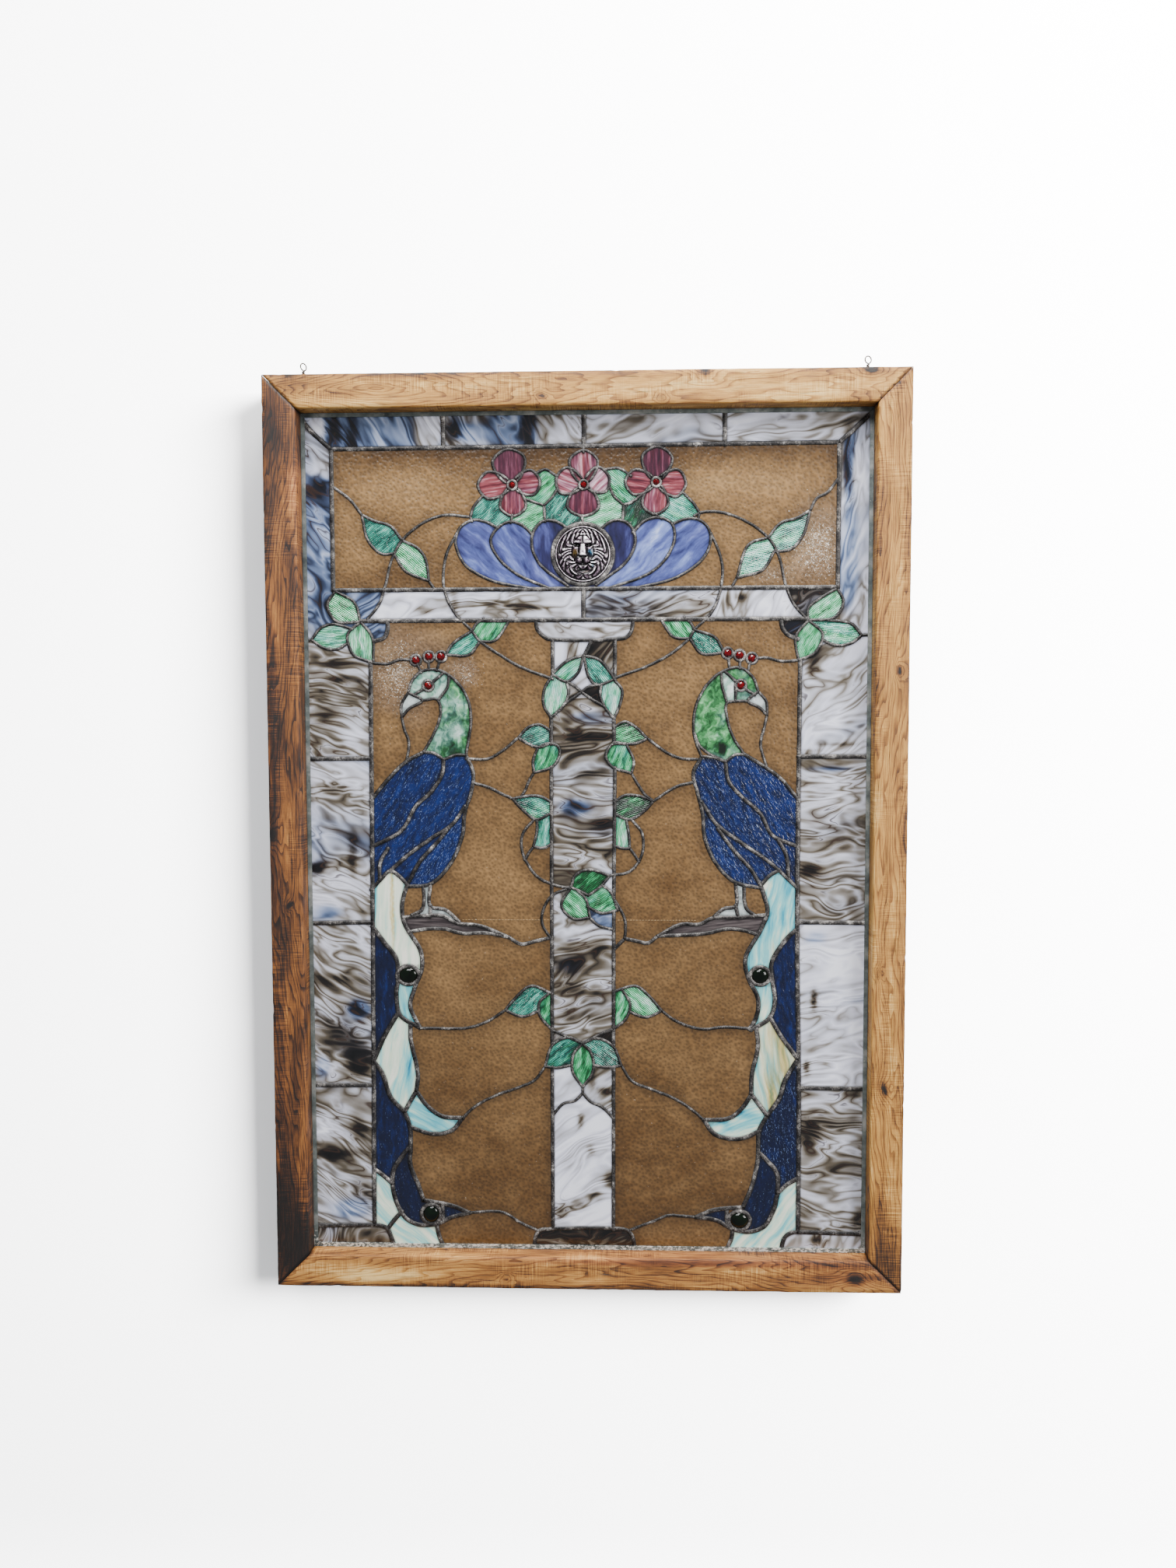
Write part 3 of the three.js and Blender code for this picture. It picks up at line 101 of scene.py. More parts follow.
LEADING = (
    LeadGroup("border", Lead.HEAVY, (
        (-289, 444, 285, 446), (-161, 444, -161, 495), (-1.5, 445, -1.5, 495), (157, 445, 157, 495),
        (-289, 444, -310, 463, -335, 492), (285, 446, 303, 462, 335, 492), (-289, 444, -289, 285),
        (285, 446, 284.5, 285),
    )),
    LeadGroup("lintel", Lead.HEAVY, (
        (-289, 285, 284.5, 285), (-258, 250, 251, 250), (-2.5, 285, -2.5, 250),
        (-227, 250, -227, 240, -231, 231, -242, 227), (221, 250, 223, 239, 229, 232, 240, 227),
    )),
    LeadGroup("side columns", Lead.HEAVY, (
        (-247, 203, -249, -150, -251.5, -458.5), (-335, 92, -248, 92.5), (-335, -99.5, -249, -98),
        (-335, -291, -251, -290.5), (-335, -460, -251.5, -458.5),
        (-251.5, -458.5, -243, -459.5, -236, -463, -231.5, -474, -226, -490),
        (243, 203, 242, -100, 245.5, -300, 245.5, -461), (242, 94, 335, 94), (242, -96.5, 335, -97),
        (245.5, -290, 335, -290.5), (245.5, -461, 335, -463),
        (245.5, -461, 238, -462, 231, -467, 227.5, -476, 227, -490),
    )),
    LeadGroup("middle column", Lead.PLAIN, (
        (-57, 250, -55, 239, -45, 229.5, -32, 227.5, 33, 228, 46, 230, 52, 237, 54, 250),
        (-38, 227, -38, 188), (33.5, 228, 33, 182), (7, 227, -2, 209), (-40, 139, -40, 109),
        (-40, 82, -40.5, -239), (-40.5, -268, -40.5, -461), (32, 138, 32, 110), (33, 81, 31.5, -68),
        (31.5, -85, 31, -241), (31, -267, 30.5, -461),
        (-62, -490, -61.5, -472, -57, -463, -46, -461, 44, -460.5, 50, -464, 54.5, -474, 55, -490),
    )),
    LeadGroup("swag and lower arches of the middle column", Lead.THIN, (
        (-40.5, -224, -24, -231, -5, -239.5), (31, -222, 14, -229, -5, -239.5), (-5, -291, -5, -298),
        (-5, -298, -14, -307, -28, -311, -40.5, -325), (-5, -298, 4, -308, 18, -315, 31, -328),
    )),
    LeadGroup("arching leaves at the column head", Lead.THIN, (
        (-38, 189, -22, 203, -3, 209.5), (-3, 209.5, -9, 190, -22, 180, -38, 188),
        (-3, 209.5, 16, 204, 32, 184), (-2, 209, 3, 186, 12, 176, 32, 182),
        (-38, 188, -48, 170, -48, 152, -40, 139), (-22, 180, -20, 167, -25, 154, -40, 139),
        (32, 182, 41, 171, 39, 154, 32, 138), (18, 177, 16.5, 163, 22, 150, 32, 138),
        (-5, 168, -15, 161, -24, 155), (-5, 168, 8, 159, 20, 152), (-5, 168, -13, 175, -22, 180),
        (-5, 168, 3, 174, 12, 176),
    )),
    LeadGroup("leaves and stems on the left of the column", Lead.THIN, (
        (-78, 116, -66, 128, -54, 131, -40, 124), (-78, 116, -66, 109, -55, 105, -40, 110),
        (-55, 105, -43, 109.5, -32, 106, -31, 94, -40, 82, -60, 76), (-60, 76, -61, 90, -55, 105),
        (-78, 116, -95, 102, -113, 92, -138, 92), (-60, 76, -66, 66, -70, 56, -76, 47),
        (-85, 46, -68, 49, -53, 48.5, -40, 42), (-85, 46, -74, 34, -58, 22, -40, 29.5),
        (-129, 64, -112, 59, -98, 52, -85, 46), (-57, 22, -57, 8, -61, -9.5),
        (-61, -9.5, -50, -11, -40, -6), (-61, -9.5, -66, -16, -71, -25),
        (-60, 22, -73, 6, -74, -15, -58, -43, -40, -53, -19, -58),
        (-24, -59, -40, -66, -51, -86, -51, -100, -41, -117),
    )),
    LeadGroup("leaves and stems on the right of the column", Lead.THIN, (
        (32, 128, 45, 134, 58, 127, 70, 115), (70, 115, 58, 109.5, 46, 108.5, 32, 111),
        (46, 108.5, 30, 108, 22.5, 96, 30, 82.5, 52, 75), (52, 75, 54.5, 89, 46, 108.5),
        (70, 115, 92, 99, 108, 92, 127, 91), (52, 75, 59, 63, 66, 52, 77, 43),
        (32, 42, 44, 49.5, 60, 49, 77, 43), (77, 43, 66, 31, 50, 22, 32, 28),
        (77, 43, 90, 52, 104, 60, 124, 65), (46, 22, 48.5, 6, 50, -11.5),
        (50, -11.5, 42, -11.5, 32, -8.5), (50, -11.5, 55, -18, 60.5, -27),
        (52, 22, 64, 6, 64, -18, 50, -38, 27, -43), (32, -70, 42, -88, 45, -100, 44, -116),
    )),
    LeadGroup("three leaves on the shaft", Lead.THIN, (
        (-18, -57, -13, -43, 2, -36, 27, -43), (27, -43, 17, -55, 2, -66), (2, -66, -8, -61, -18, -57),
        (-10, -61, -1, -70, 4, -92), (4, -92, -16, -93, -29, -77, -18, -57),
        (18, -54, 28, -62, 36, -83), (36, -83, 18, -86.5, 1, -79), (4, -92, 14, -101, 32, -106),
    )),
    LeadGroup("pairs of leaves low on the shaft", Lead.THIN, (
        (-95, -200.5, -82, -185, -65, -172, -40, -181), (-95, -200.5, -75, -208, -56, -201),
        (-43, -180, -55, -191, -55, -206, -40, -224), (31, -178, 57, -171.5, 72, -183, 87, -200.5),
        (87, -200.5, 68, -208, 50, -202), (41, -176, 50, -192, 46, -209, 31, -222),
        (-95, -200.5, -114, -213, -138, -221.5, -194, -222.5),
        (87, -200.5, 104, -212.5, 132, -221.5, 160, -219, 192, -221),
    )),
    LeadGroup("trefoil of leaves and its vines", Lead.THIN, (
        (-5, -239.5, -21, -232.5, -40, -241, -49, -267), (-49, -267, -35, -268.5, -18, -265),
        (-5, -239.5, 11, -233, 30, -242, 40, -265), (40, -265, 25, -267.5, 8, -265),
        (-5, -239.5, -15, -251, -17, -272, -5, -291), (-5, -239.5, 5, -251, 7, -272, -5, -291),
        (-49, -267, -61, -283, -80, -292, -105, -301, -130, -314, -146, -329),
        (40, -265, 52, -283, 75, -293, 98, -302, 120, -315, 136, -329),
    )),
    LeadGroup("bottom vines", Lead.THIN, (
        (-139, -442.5, -115, -440.5, -98, -442, -78, -454, -58, -463),
        (127, -444.5, 110, -443.5, 95, -443, 75, -451, 50, -461),
    )),
    LeadGroup("corner sprays", Lead.THIN, (
        (-287, 284, -296, 268, -286, 250, -258, 249), (-287, 284, -265, 271, -258, 249),
        (-315, 229, -303, 243, -289, 246.5, -268, 241), (-315, 229, -302, 220, -286, 218, -273, 225),
        (-258, 249, -245, 232, -244, 202), (-258, 249, -273, 235, -267, 212, -244, 202),
        (-315, 229, -335, 227), (284, 284, 291, 268, 281, 251, 252, 248),
        (284, 284, 262, 270.5, 252, 262, 251, 249), (312, 231, 300, 244, 274, 248),
        (312, 231, 300, 222, 284, 219.5, 267, 226), (252, 248, 238, 230, 241, 203),
        (252, 248, 268, 233, 260, 212, 241, 203), (312, 231, 335, 232),
    )),
    LeadGroup("upper vines, left", Lead.THIN, (
        (-289, 403, -268, 387, -255, 370), (-255, 370, -240, 363, -222, 357, -209, 341),
        (-255, 370, -248, 341, -233, 326, -219, 326), (-209, 341, -190, 331, -182, 318, -179, 295),
        (-219, 326, -205, 306, -179, 295), (-179, 295, -172, 285),
        (-131, 366.5, -160, 369, -185, 360.5, -209, 341, -221, 320, -229, 290, -237, 268, -252, 250),
        (-147, 348, -158, 326, -162, 305, -161, 284, -151, 261, -130, 238),
    )),
    LeadGroup("upper vines, right", Lead.THIN, (
        (285, 407, 271, 390, 260, 384, 253, 371), (253, 371, 237, 362, 220, 357, 206, 341),
        (253, 371, 245, 343, 232, 328, 215, 325), (206, 341, 184, 333, 171, 296),
        (214, 327, 200, 305, 171, 296), (171, 296, 165, 285),
        (123, 366, 131, 369.5, 150, 370, 178, 361, 206, 341, 218, 321, 226, 288, 235, 267, 250, 250),
        (142, 346, 152, 322, 155, 304, 152, 280, 143, 258, 123, 238),
    )),
    LeadGroup("crest vines, left", Lead.THIN, (
        (-244, 202, -228, 201, -214, 205.5, -198, 205), (-161, 211, -152, 224, -130, 238),
        (-161, 211, -134, 211, -121, 226), (-130, 238, -121, 226), (-130, 238, -125, 246, -117, 252),
        (-121, 226, -104, 227, -87, 250), (-121, 226, -102, 213, -75, 197, -38, 183),
        (-194, 202, -189, 191), (-180, 206, -180, 194), (-167, 206, -171, 193),
    )),
    LeadGroup("crest vines, right", Lead.THIN, (
        (241, 203, 222, 202, 206, 206, 192, 205), (157, 212, 147, 229, 123, 238),
        (157, 212, 132, 211, 118, 228), (118, 228, 123, 238), (123, 238, 120, 245, 112, 252),
        (118, 228, 100, 230, 85, 250), (118, 228, 98, 212, 72, 198, 33, 184), (162, 208, 163, 194),
        (175, 206, 175, 194), (187, 202, 184, 190),
    )),
    LeadGroup("greenery round the flowers", Lead.THIN, (
        (-131, 367, -127, 378, -117, 389.5), (-131, 367, -129, 362), (-83, 368, -85, 360),
        (-68, 386, -47, 379), (-47, 379, -46, 361), (-56, 415, -45, 419, -33, 412), (-2, 438, -2, 445),
        (-32, 397, -38, 388, -47, 379), (-4, 367, -3, 359), (27, 400, 33, 388, 43, 379),
        (43, 379, 42, 361), (22.5, 418.5, 38, 419.5, 51.5, 411), (43, 379, 51, 381, 65, 391),
        (78, 369, 86, 363), (110.5, 391.5, 122, 380, 129, 369), (129, 369, 127, 362),
    )),
    LeadGroup("petals of the bowl", Lead.THIN, (
        (-100, 354, -113, 361, -129, 363, -143, 354, -148, 338, -138, 314, -110, 296, -60, 285),
        (-60, 346, -72, 357, -86, 361, -100, 354, -108, 340, -99, 320, -78, 302, -40, 285),
        (-20, 353, -34, 361, -49, 361, -59, 350, -61, 334, -52, 313, -20, 288),
        (17, 352, 30, 361, 43, 361, 54, 351, 56, 334, 46, 315, 12, 289),
        (54, 348, 66, 360, 82, 364.5, 97, 358, 101, 343, 92, 320, 72, 302, 25, 285),
        (98, 357, 112, 362, 127, 362, 139, 352, 141, 335, 130, 315, 100, 296, 55, 285),
    )),
    LeadGroup("left head", Lead.THIN, (
        (-204, 168, -200, 181, -189, 192, -171, 194, -152, 184, -137, 164, -132, 139, -138, 96),
        (-188, 159, -171, 160, -167, 145, -175, 121, -187, 100), (-157, 187, -159, 174, -169, 160),
        (-204, 168, -212, 155, -212, 140), (-212, 140, -203, 150, -188, 159, -204, 168),
        (-163, 191, -181, 176, -198, 165), (-212, 140, -209, 126, -204, 111, -207, 88),
        (-187, 100, -175, 98.5, -164, 91), (-164, 91, -151, 96, -138, 96),
    )),
    LeadGroup("right head", Lead.THIN, (
        (132, 94, 123.5, 118, 124, 146, 135, 172, 154, 190, 175, 195, 190, 184, 196, 168),
        (184, 157, 171, 157, 160.5, 155, 161, 137, 168, 116, 180, 97), (154, 189, 155, 175, 160, 157),
        (196, 168, 205, 157, 206, 141), (206, 141, 197, 150, 184, 157, 196, 168),
        (158, 191, 176, 175, 192, 164), (171, 178, 170, 158), (206, 141, 203, 127, 199, 108, 206, 82),
        (180, 97, 170, 96, 159, 88), (159, 88, 146, 93, 132, 94),
        (124, 120, 130, 106, 141, 97, 158, 89),
    )),
    LeadGroup("left body", Lead.PLAIN, (
        (-187, 100, -208, 88.5, -230, 67, -249, 44),
        (-138, 96, -130, 76, -132, 55, -140, 30, -143, 4, -157, -29, -181, -53, -208, -56),
        (-164, 91, -166, 74, -179, 54, -197, 37, -214, 9, -249, -10),
        (-140, 37, -155, 16, -178, 1, -205, -18, -228, -38), (-159, 12, -172, -4, -192, -26, -208, -54),
        (-230, -12, -239, -28, -240, -49), (-250, -60, -238, -47, -228, -38, -217, -44, -208, -54),
    )),
    LeadGroup("right body", Lead.PLAIN, (
        (180, 97, 200, 85, 222, 69, 242, 45),
        (132, 94, 122.5, 75, 127, 54, 133, 30, 136, 0, 149, -29, 170, -50, 200, -57),
        (159, 88, 163, 66, 178, 48, 199, 29, 213, 4, 242, -9),
        (132, 42, 150, 16, 178, -5, 211, -28, 242, -57), (151, 11, 168, -12, 189, -36, 200, -54),
        (220, -1, 229, -20, 232, -46), (200, -54, 210, -43, 221, -36),
    )),
    LeadGroup("left tail", Lead.HEAVY, (
        (-208, -54, -214, -76, -212, -98, -193, -132, -192, -152, -201, -176, -206, -196, -195, -222),
        (-249, -103, -236, -121, -222, -140, -219.5, -160, -222, -183, -218, -207, -195, -222),
        (-220, -204, -236, -231, -250, -262), (-250, -262, -240, -276, -230, -305, -214, -322),
        (-206, -220, -206, -235, -198, -277, -200, -297), (-200, -297, -207, -309, -214, -322),
        (-200, -297, -188, -314, -170, -327, -146, -329),
        (-146, -329, -159, -344, -182, -348, -208, -340),
        (-214, -322, -208, -340, -207.5, -366, -208, -386, -199, -409, -193, -428),
        (-208, -363, -219, -377, -228, -392, -230, -408), (-251, -391, -240, -399, -230, -408),
        (-230, -408, -227, -425, -215, -449, -199, -457.5, -177, -457),
        (-193, -428, -160, -434, -139, -442.5), (-177, -457, -162, -449, -139, -442.5),
        (-171, -432, -170, -453), (-219, -442, -228, -452, -236, -463),
        (-178, -457, -175, -470, -167, -490),
    )),
    LeadGroup("right tail", Lead.HEAVY, (
        (200, -54, 208, -84, 201, -104, 183, -139, 186, -160, 198, -187, 195, -210, 188, -221),
        (242, -104, 228, -118, 213, -144, 214, -165, 217, -188, 211, -208, 190, -222),
        (212, -208, 223, -227, 244, -256), (244, -256, 229, -282, 223, -302, 209, -323),
        (196, -221, 198, -241, 191, -276, 190.5, -298), (190.5, -298, 198, -308, 209, -323),
        (190.5, -298, 182, -312, 166, -326, 136, -329),
        (136, -329, 148, -345, 168, -351, 185, -349, 200, -341),
        (209, -323, 200, -341, 198.5, -375, 192, -406, 181.5, -432),
        (199, -366, 212, -379, 221, -392, 222, -415), (245.5, -397, 233, -404, 222, -415),
        (222, -415, 218, -433, 206, -455, 188, -461.5, 170, -459),
        (181.5, -432, 147, -436, 127, -444.5), (170, -459, 150, -448, 127, -444.5),
        (163, -434, 163, -454), (170, -459, 168, -470, 160, -490),
    )),
    LeadGroup("left leg and branch", Lead.PLAIN, (
        (-189.5, -56, -188.5, -72, -191, -83, -203, -89.5),
        (-181, -53, -181, -79, -164, -83, -148, -97), (-181, -78, -182, -91),
        (-213, -92, -189, -90, -166, -90.5, -151, -98.5, -125, -101.5, -90, -115),
        (-207, -109, -185, -105.5, -165, -105.5, -145, -110.5, -118, -110, -90, -115),
        (-90, -115, -76, -123, -58, -119, -40, -115),
    )),
    LeadGroup("right leg and branch", Lead.PLAIN, (
        (171.5, -53, 171.5, -78, 158, -81, 145, -92), (181, -55, 181.7, -72, 184.5, -81.5, 194, -89),
        (171.5, -77, 174.5, -91), (208, -88, 173, -91, 145, -92, 130, -99, 108, -99.5, 82, -113),
        (197, -111, 180, -106, 161, -104.5, 142, -109, 125, -111, 82, -113),
        (82, -113, 71, -121, 58, -119, 44, -116), (44, -116, 32, -128),
    )),
)
FLOWERS = (
    Flower(-83, 402, ((98, 40.5, 38), (7, 32, 29), (-88, 35, 30), (180, 39, 31))),
    Flower(-2, 401.5, ((90, 38.5, 33), (167, 32, 31), (16, 30, 30), (-92, 35, 37))),
    Flower(80, 404, ((88, 39.5, 35), (180, 35, 29), (-4, 33.5, 31), (-93, 36, 30))),
)
CREST_JEWELS = ((-195, 205), (-180, 209), (-166, 209), (161, 211.5), (174.5, 209), (188.5, 205.5))
EYE_JEWELS = ((-181, 176), (176, 175))
FLOWER_RING = 5.0
HEAD_RING = 6.0
PETAL_OUTLINE = ((0, 0), (0.36, 0.4), (0.74, 0.47), (1, 0), (0.74, -0.47), (0.36, -0.4))


def smooth_line(points: np.ndarray, closed: bool, spacing: float) -> np.ndarray:
    """Draws a smooth line through points of the plane.

    Args:
        points: One row per point.
        closed: Whether the last point joins the first.
        spacing: The longest step between two points of the result.

    Returns:
        The points of the smooth line, without repeating the first one if it is closed.
    """
    count = len(points)
    spans = count if closed else count - 1
    pieces = []
    for i in range(spans):
        start, end = points[i], points[(i + 1) % count]
        before = points[i - 1] if closed or i > 0 else 2 * start - end
        after = points[(i + 2) % count] if closed or i < count - 2 else 2 * end - start
        first, gap, last = (math.sqrt(float(np.linalg.norm(b - a))) for a, b in (
            (before, start), (start, end), (end, after)))
        leaving = ((start - before) / first - (end - before) / (first + gap)) * gap + end - start
        arriving = ((after - end) / last - (after - start) / (gap + last)) * gap + end - start
        steps = max(1, math.ceil(float(np.linalg.norm(end - start)) / spacing))
        t = (np.arange(steps) / steps)[:, None]
        pieces.append(
            (2 * t**3 - 3 * t**2 + 1) * start
            + (t**3 - 2 * t**2 + t) * leaving
            + (3 * t**2 - 2 * t**3) * end
            + (t**3 - t**2) * arriving
        )
    if not closed:
        pieces.append(points[-1:])
    return np.concatenate(pieces)


def ring(x: float, z: float, radius_x: float, radius_z: float, sides: int) -> np.ndarray:
    """Returns the points of an ellipse."""
    angles = np.arange(sides) * (2 * math.pi / sides)
    return np.column_stack((x + radius_x * np.cos(angles), z + radius_z * np.sin(angles)))


@dataclass(frozen=True)
class LeadLine:
    """One lead: its middle line, its width and whether it closes on itself."""

    path: np.ndarray
    width: float
    closed: bool
    group: str

    def normals(self) -> np.ndarray:
        """Returns the line's unit normals in the plane."""
        if self.closed:
            along = np.roll(self.path, -1, axis=0) - np.roll(self.path, 1, axis=0)
        else:
            along = np.gradient(self.path, axis=0)
        along /= np.maximum(np.linalg.norm(along, axis=1, keepdims=True), 1e-9)
        return np.column_stack((-along[:, 1], along[:, 0]))

    def lengthened(self, reach: float) -> "LeadLine":
        """Returns the same lead with its open ends drawn out by a length.

        Args:
            reach: How far each open end is drawn out, in mm.

        Returns:
            The longer lead.
        """
        if self.closed:
            return self
        first = self.path[0] - self.path[1]
        last = self.path[-1] - self.path[-2]
        start = self.path[0] + first * (reach / np.linalg.norm(first))
        end = self.path[-1] + last * (reach / np.linalg.norm(last))
        return LeadLine(np.vstack((start, self.path, end)), self.width, False, self.group)


def lead_lines(spacing: float) -> list[LeadLine]:
    """Draws every lead of the panel.

    Args:
        spacing: The longest step between two points of a lead, in mm.

    Returns:
        The leads, smooth and with their widths.
    """
    lines = []
    for group in LEADING:
        for flat in group.lines:
            points = np.array(flat, float).reshape(-1, 2)
            path = smooth_line(points, False, spacing)
            lines.append(LeadLine(path, group.width.value, False, group.name))
    for flower in FLOWERS:
        middle = np.array((flower.x, flower.z))
        for degrees, length, width in flower.petals:
            along = np.array((math.cos(math.radians(degrees)), math.sin(math.radians(degrees))))
            across = np.array((-along[1], along[0]))
            outline = [middle + far * length * along + side * width * across for far, side in PETAL_OUTLINE]
            path = smooth_line(np.array(outline), True, spacing)
            lines.append(LeadLine(path, Lead.THIN.value, True, "petals"))
        path = ring(flower.x, flower.z, FLOWER_RING, FLOWER_RING, 24)
        lines.append(LeadLine(path, Lead.THIN.value, True, "jewel rings"))
    for x, z in (*CREST_JEWELS, *EYE_JEWELS):
        lines.append(LeadLine(ring(x, z, HEAD_RING, HEAD_RING, 24), Lead.THIN.value, True, "jewel rings"))
    for jewel in SET_JEWELS:
        radius_x, radius_z = jewel.half_width + jewel.lead / 2, jewel.half_height + jewel.lead / 2
        path = ring(jewel.x, jewel.z, radius_x, radius_z, 64)
        lines.append(LeadLine(path, jewel.lead, True, "jewel seats"))
    return lines


@dataclass(frozen=True)
class SetJewel:
    """A large jewel of pressed or moulded glass, and the width of the lead round it."""

    node: str
    x: float
    z: float
    half_width: float
    half_height: float
    lead: float


SET_JEWELS = (
    SetJewel("lion_medallion", -3, 324, 31.5, 31.5, 5),
    SetJewel("nugget_upper_left", -208, -160, 10.5, 8.7, 4.4),
    SetJewel("nugget_upper_right", 200, -159, 9.3, 8.2, 4.4),
    SetJewel("nugget_lower_left", -184, -444.5, 9.2, 9.6, 4.4),
    SetJewel("nugget_lower_right", 177.5, -448, 10, 9.2, 4.4),
)


@dataclass
class Region:
    """One pane's flat shape: points in mm, triangles, rim edges and each point's distance to lead."""

    points: np.ndarray
    triangles: np.ndarray
    rim: np.ndarray
    to_lead: np.ndarray

    def area(self) -> float:
        """Returns the pane's area in square mm."""
        a, b, c = (self.points[self.triangles[:, k]] for k in range(3))
        return float(np.abs(np.cross(b - a, c - a)).sum() / 2)

    def holds(self, x: float, z: float) -> bool:
        """Returns whether the point lies in the pane."""
        a, b, c = (self.points[self.triangles[:, k]] for k in range(3))
        point = np.array((x, z))
        turns = [np.cross(q - p, point - p) for p, q in ((a, b), (b, c), (c, a))]
        left, right = (np.all([sign * turn >= 0 for turn in turns], axis=0) for sign in (1, -1))
        return bool((left | right).any())


@dataclass
class Tracery:
    """The network of leads, and the flat shapes of the panes between them."""

    half_width: float = 327.0
    half_height: float = 488.0
    spacing: float = 2.5
    grid: float = 4.0
    tuck: float = 0.3
    end_reach: float = 1.6
    clear_of_lead: float = 1.4
    smallest: float = 4.0
    lines: list[LeadLine] = field(default_factory=list)

    def __post_init__(self) -> None:
        """Draws the leads and notes where they run."""
        self.lines = [line.lengthened(self.end_reach) for line in lead_lines(self.spacing)]
        samples = [(line, line.path) for line in self.lines]
        self.tree = kdtree.KDTree(sum(4 * len(path) for _, path in samples))
        self.half_widths: list[float] = []
        for line, path in samples:
            after = np.roll(path, -1, axis=0) if line.closed else np.vstack((path[1:], path[-1:]))
            for share in (0, 0.25, 0.5, 0.75):
                for x, z in path + share * (after - path):
                    self.tree.insert((x, z, 0), len(self.half_widths))
                    self.half_widths.append(line.width / 2)
        self.tree.balance()

    def to_lead(self, x: float, z: float) -> float:
        """Returns the distance from a point to the edge of the nearest lead, negative inside it."""
        _, index, distance = self.tree.find((x, z, 0))
        return distance - self.half_widths[index]

    def ribbons(self) -> tuple[list[tuple[float, float]], list[tuple[int, ...]]]:
        """Returns the corners and the four-sided pieces of every lead, a little narrower than the lead."""
        corners: list[tuple[float, float]] = []
        pieces: list[tuple[int, ...]] = []
        for line in self.lines:
            reach = (line.width - self.tuck) / 2
            normals = line.normals()
            start = len(corners)
            for point, normal in zip(line.path, normals):
                corners.append(tuple(point + reach * normal))
                corners.append(tuple(point - reach * normal))
            count = len(line.path)
            for i in range(count if line.closed else count - 1):
                here, after = start + 2 * i, start + 2 * ((i + 1) % count)
                pieces.append((here + 1, after + 1, after, here))
        return corners, pieces

    def inner_points(self) -> list[tuple[float, float]]:
        """Returns points spread over the glass, clear of the leads, for its relief and colour."""
        points = []
        rows = math.floor(2 * self.half_height / (self.grid * 0.866))
        columns = math.floor(2 * self.half_width / self.grid)
        for row in range(1, rows):
            z = -self.half_height + row * self.grid * 0.866
            for column in range(1, columns):
                x = -self.half_width + (column + 0.5 * (row % 2)) * self.grid
                if self.to_lead(x, z) > self.clear_of_lead:
                    points.append((x, z))
        return points

    def regions(self) -> list[Region]:
        """Cuts the sheet of glass along the leads.

        Returns:
            The panes, the largest first.
        """
        corners, pieces = self.ribbons()
        wide, high = self.half_width, self.half_height
        beyond = 20.0
        first = len(corners)
        corners += [(-wide, -high), (wide, -high), (wide, high), (-wide, high)]
        corners += [
            (-wide - beyond, -high - beyond), (wide + beyond, -high - beyond),
            (wide + beyond, high + beyond), (-wide - beyond, high + beyond),
        ]
        for k in range(4):
            after = (k + 1) % 4
            pieces.append((first + k, first + 4 + k, first + 4 + after, first + after))
        points = [Vector(p) for p in corners + self.inner_points()]
        found, _, faces, _, _, origins = delaunay_2d_cdt(points, [], pieces, 0, 1e-5)
        glass = np.array([face for face, origin in zip(faces, origins) if not origin and len(face) == 3])
        places = np.array([tuple(p) for p in found])
        inside = (np.abs(places[glass]).max(1) < (wide + 1e-3, high + 1e-3)).all(1)
        return self.split(places, glass[inside])

    def split(self, places: np.ndarray, triangles: np.ndarray) -> list[Region]:
        """Parts triangles into the sets that hang together.

        Args:
            places: Every point, in mm.
            triangles: Three point indices in each row.

        Returns:
            One region for each set, the largest first.
        """
        by_edge: dict[tuple[int, int], list[int]] = {}
        for index, triangle in enumerate(triangles.tolist()):
            for k in range(3):
                edge = tuple(sorted((triangle[k], triangle[(k + 1) % 3])))
                by_edge.setdefault(edge, []).append(index)
        neighbours: list[list[int]] = [[] for _ in triangles]
        for sharing in by_edge.values():
            if len(sharing) == 2:
                neighbours[sharing[0]].append(sharing[1])
                neighbours[sharing[1]].append(sharing[0])
        label = [-1] * len(triangles)
        sets: list[list[int]] = []
        for start in range(len(triangles)):
            if label[start] >= 0:
                continue
            label[start] = len(sets)
            members = [start]
            for index in members:
                for other in neighbours[index]:
                    if label[other] < 0:
                        label[other] = len(sets)
                        members.append(other)
            sets.append(members)
        regions = [self.region(places, triangles[members]) for members in sets]
        return sorted((r for r in regions if r.area() > self.smallest), key=Region.area, reverse=True)

    def region(self, places: np.ndarray, triangles: np.ndarray) -> Region:
        """Makes one pane's shape from its triangles.

        Args:
            places: The points, x and z.
            triangles: The pane's triangles.

        Returns:
            The flat shape.
        """
        used, renamed = np.unique(triangles, return_inverse=True)
        renamed = renamed.reshape(-1, 3)
        points = places[used]
        a, b, c = (points[renamed[:, k]] for k in range(3))
        clockwise = np.cross(b - a, c - a) < 0
        renamed[clockwise] = renamed[clockwise][:, ::-1]
        edges = np.concatenate([renamed[:, [k, (k + 1) % 3]] for k in range(3)])
        _, first, count = np.unique(np.sort(edges, axis=1), axis=0, return_index=True, return_counts=True)
        to_lead = np.array([max(self.to_lead(x, z), 0) for x, z in points])
        return Region(points, renamed, edges[first[count == 1]], to_lead)


class Glass(Enum):
    """The kinds of sheet glass in the panel."""

    AMBER = "amber"
    MARBLED = "marbled"
    COBALT = "cobalt"
    LEAF = "leaf"
    PETAL = "petal"
    BOWL = "bowl"
    TAIL = "tail"
    PLUMAGE = "plumage"
    SHANK = "shank"
    BRANCH = "branch"


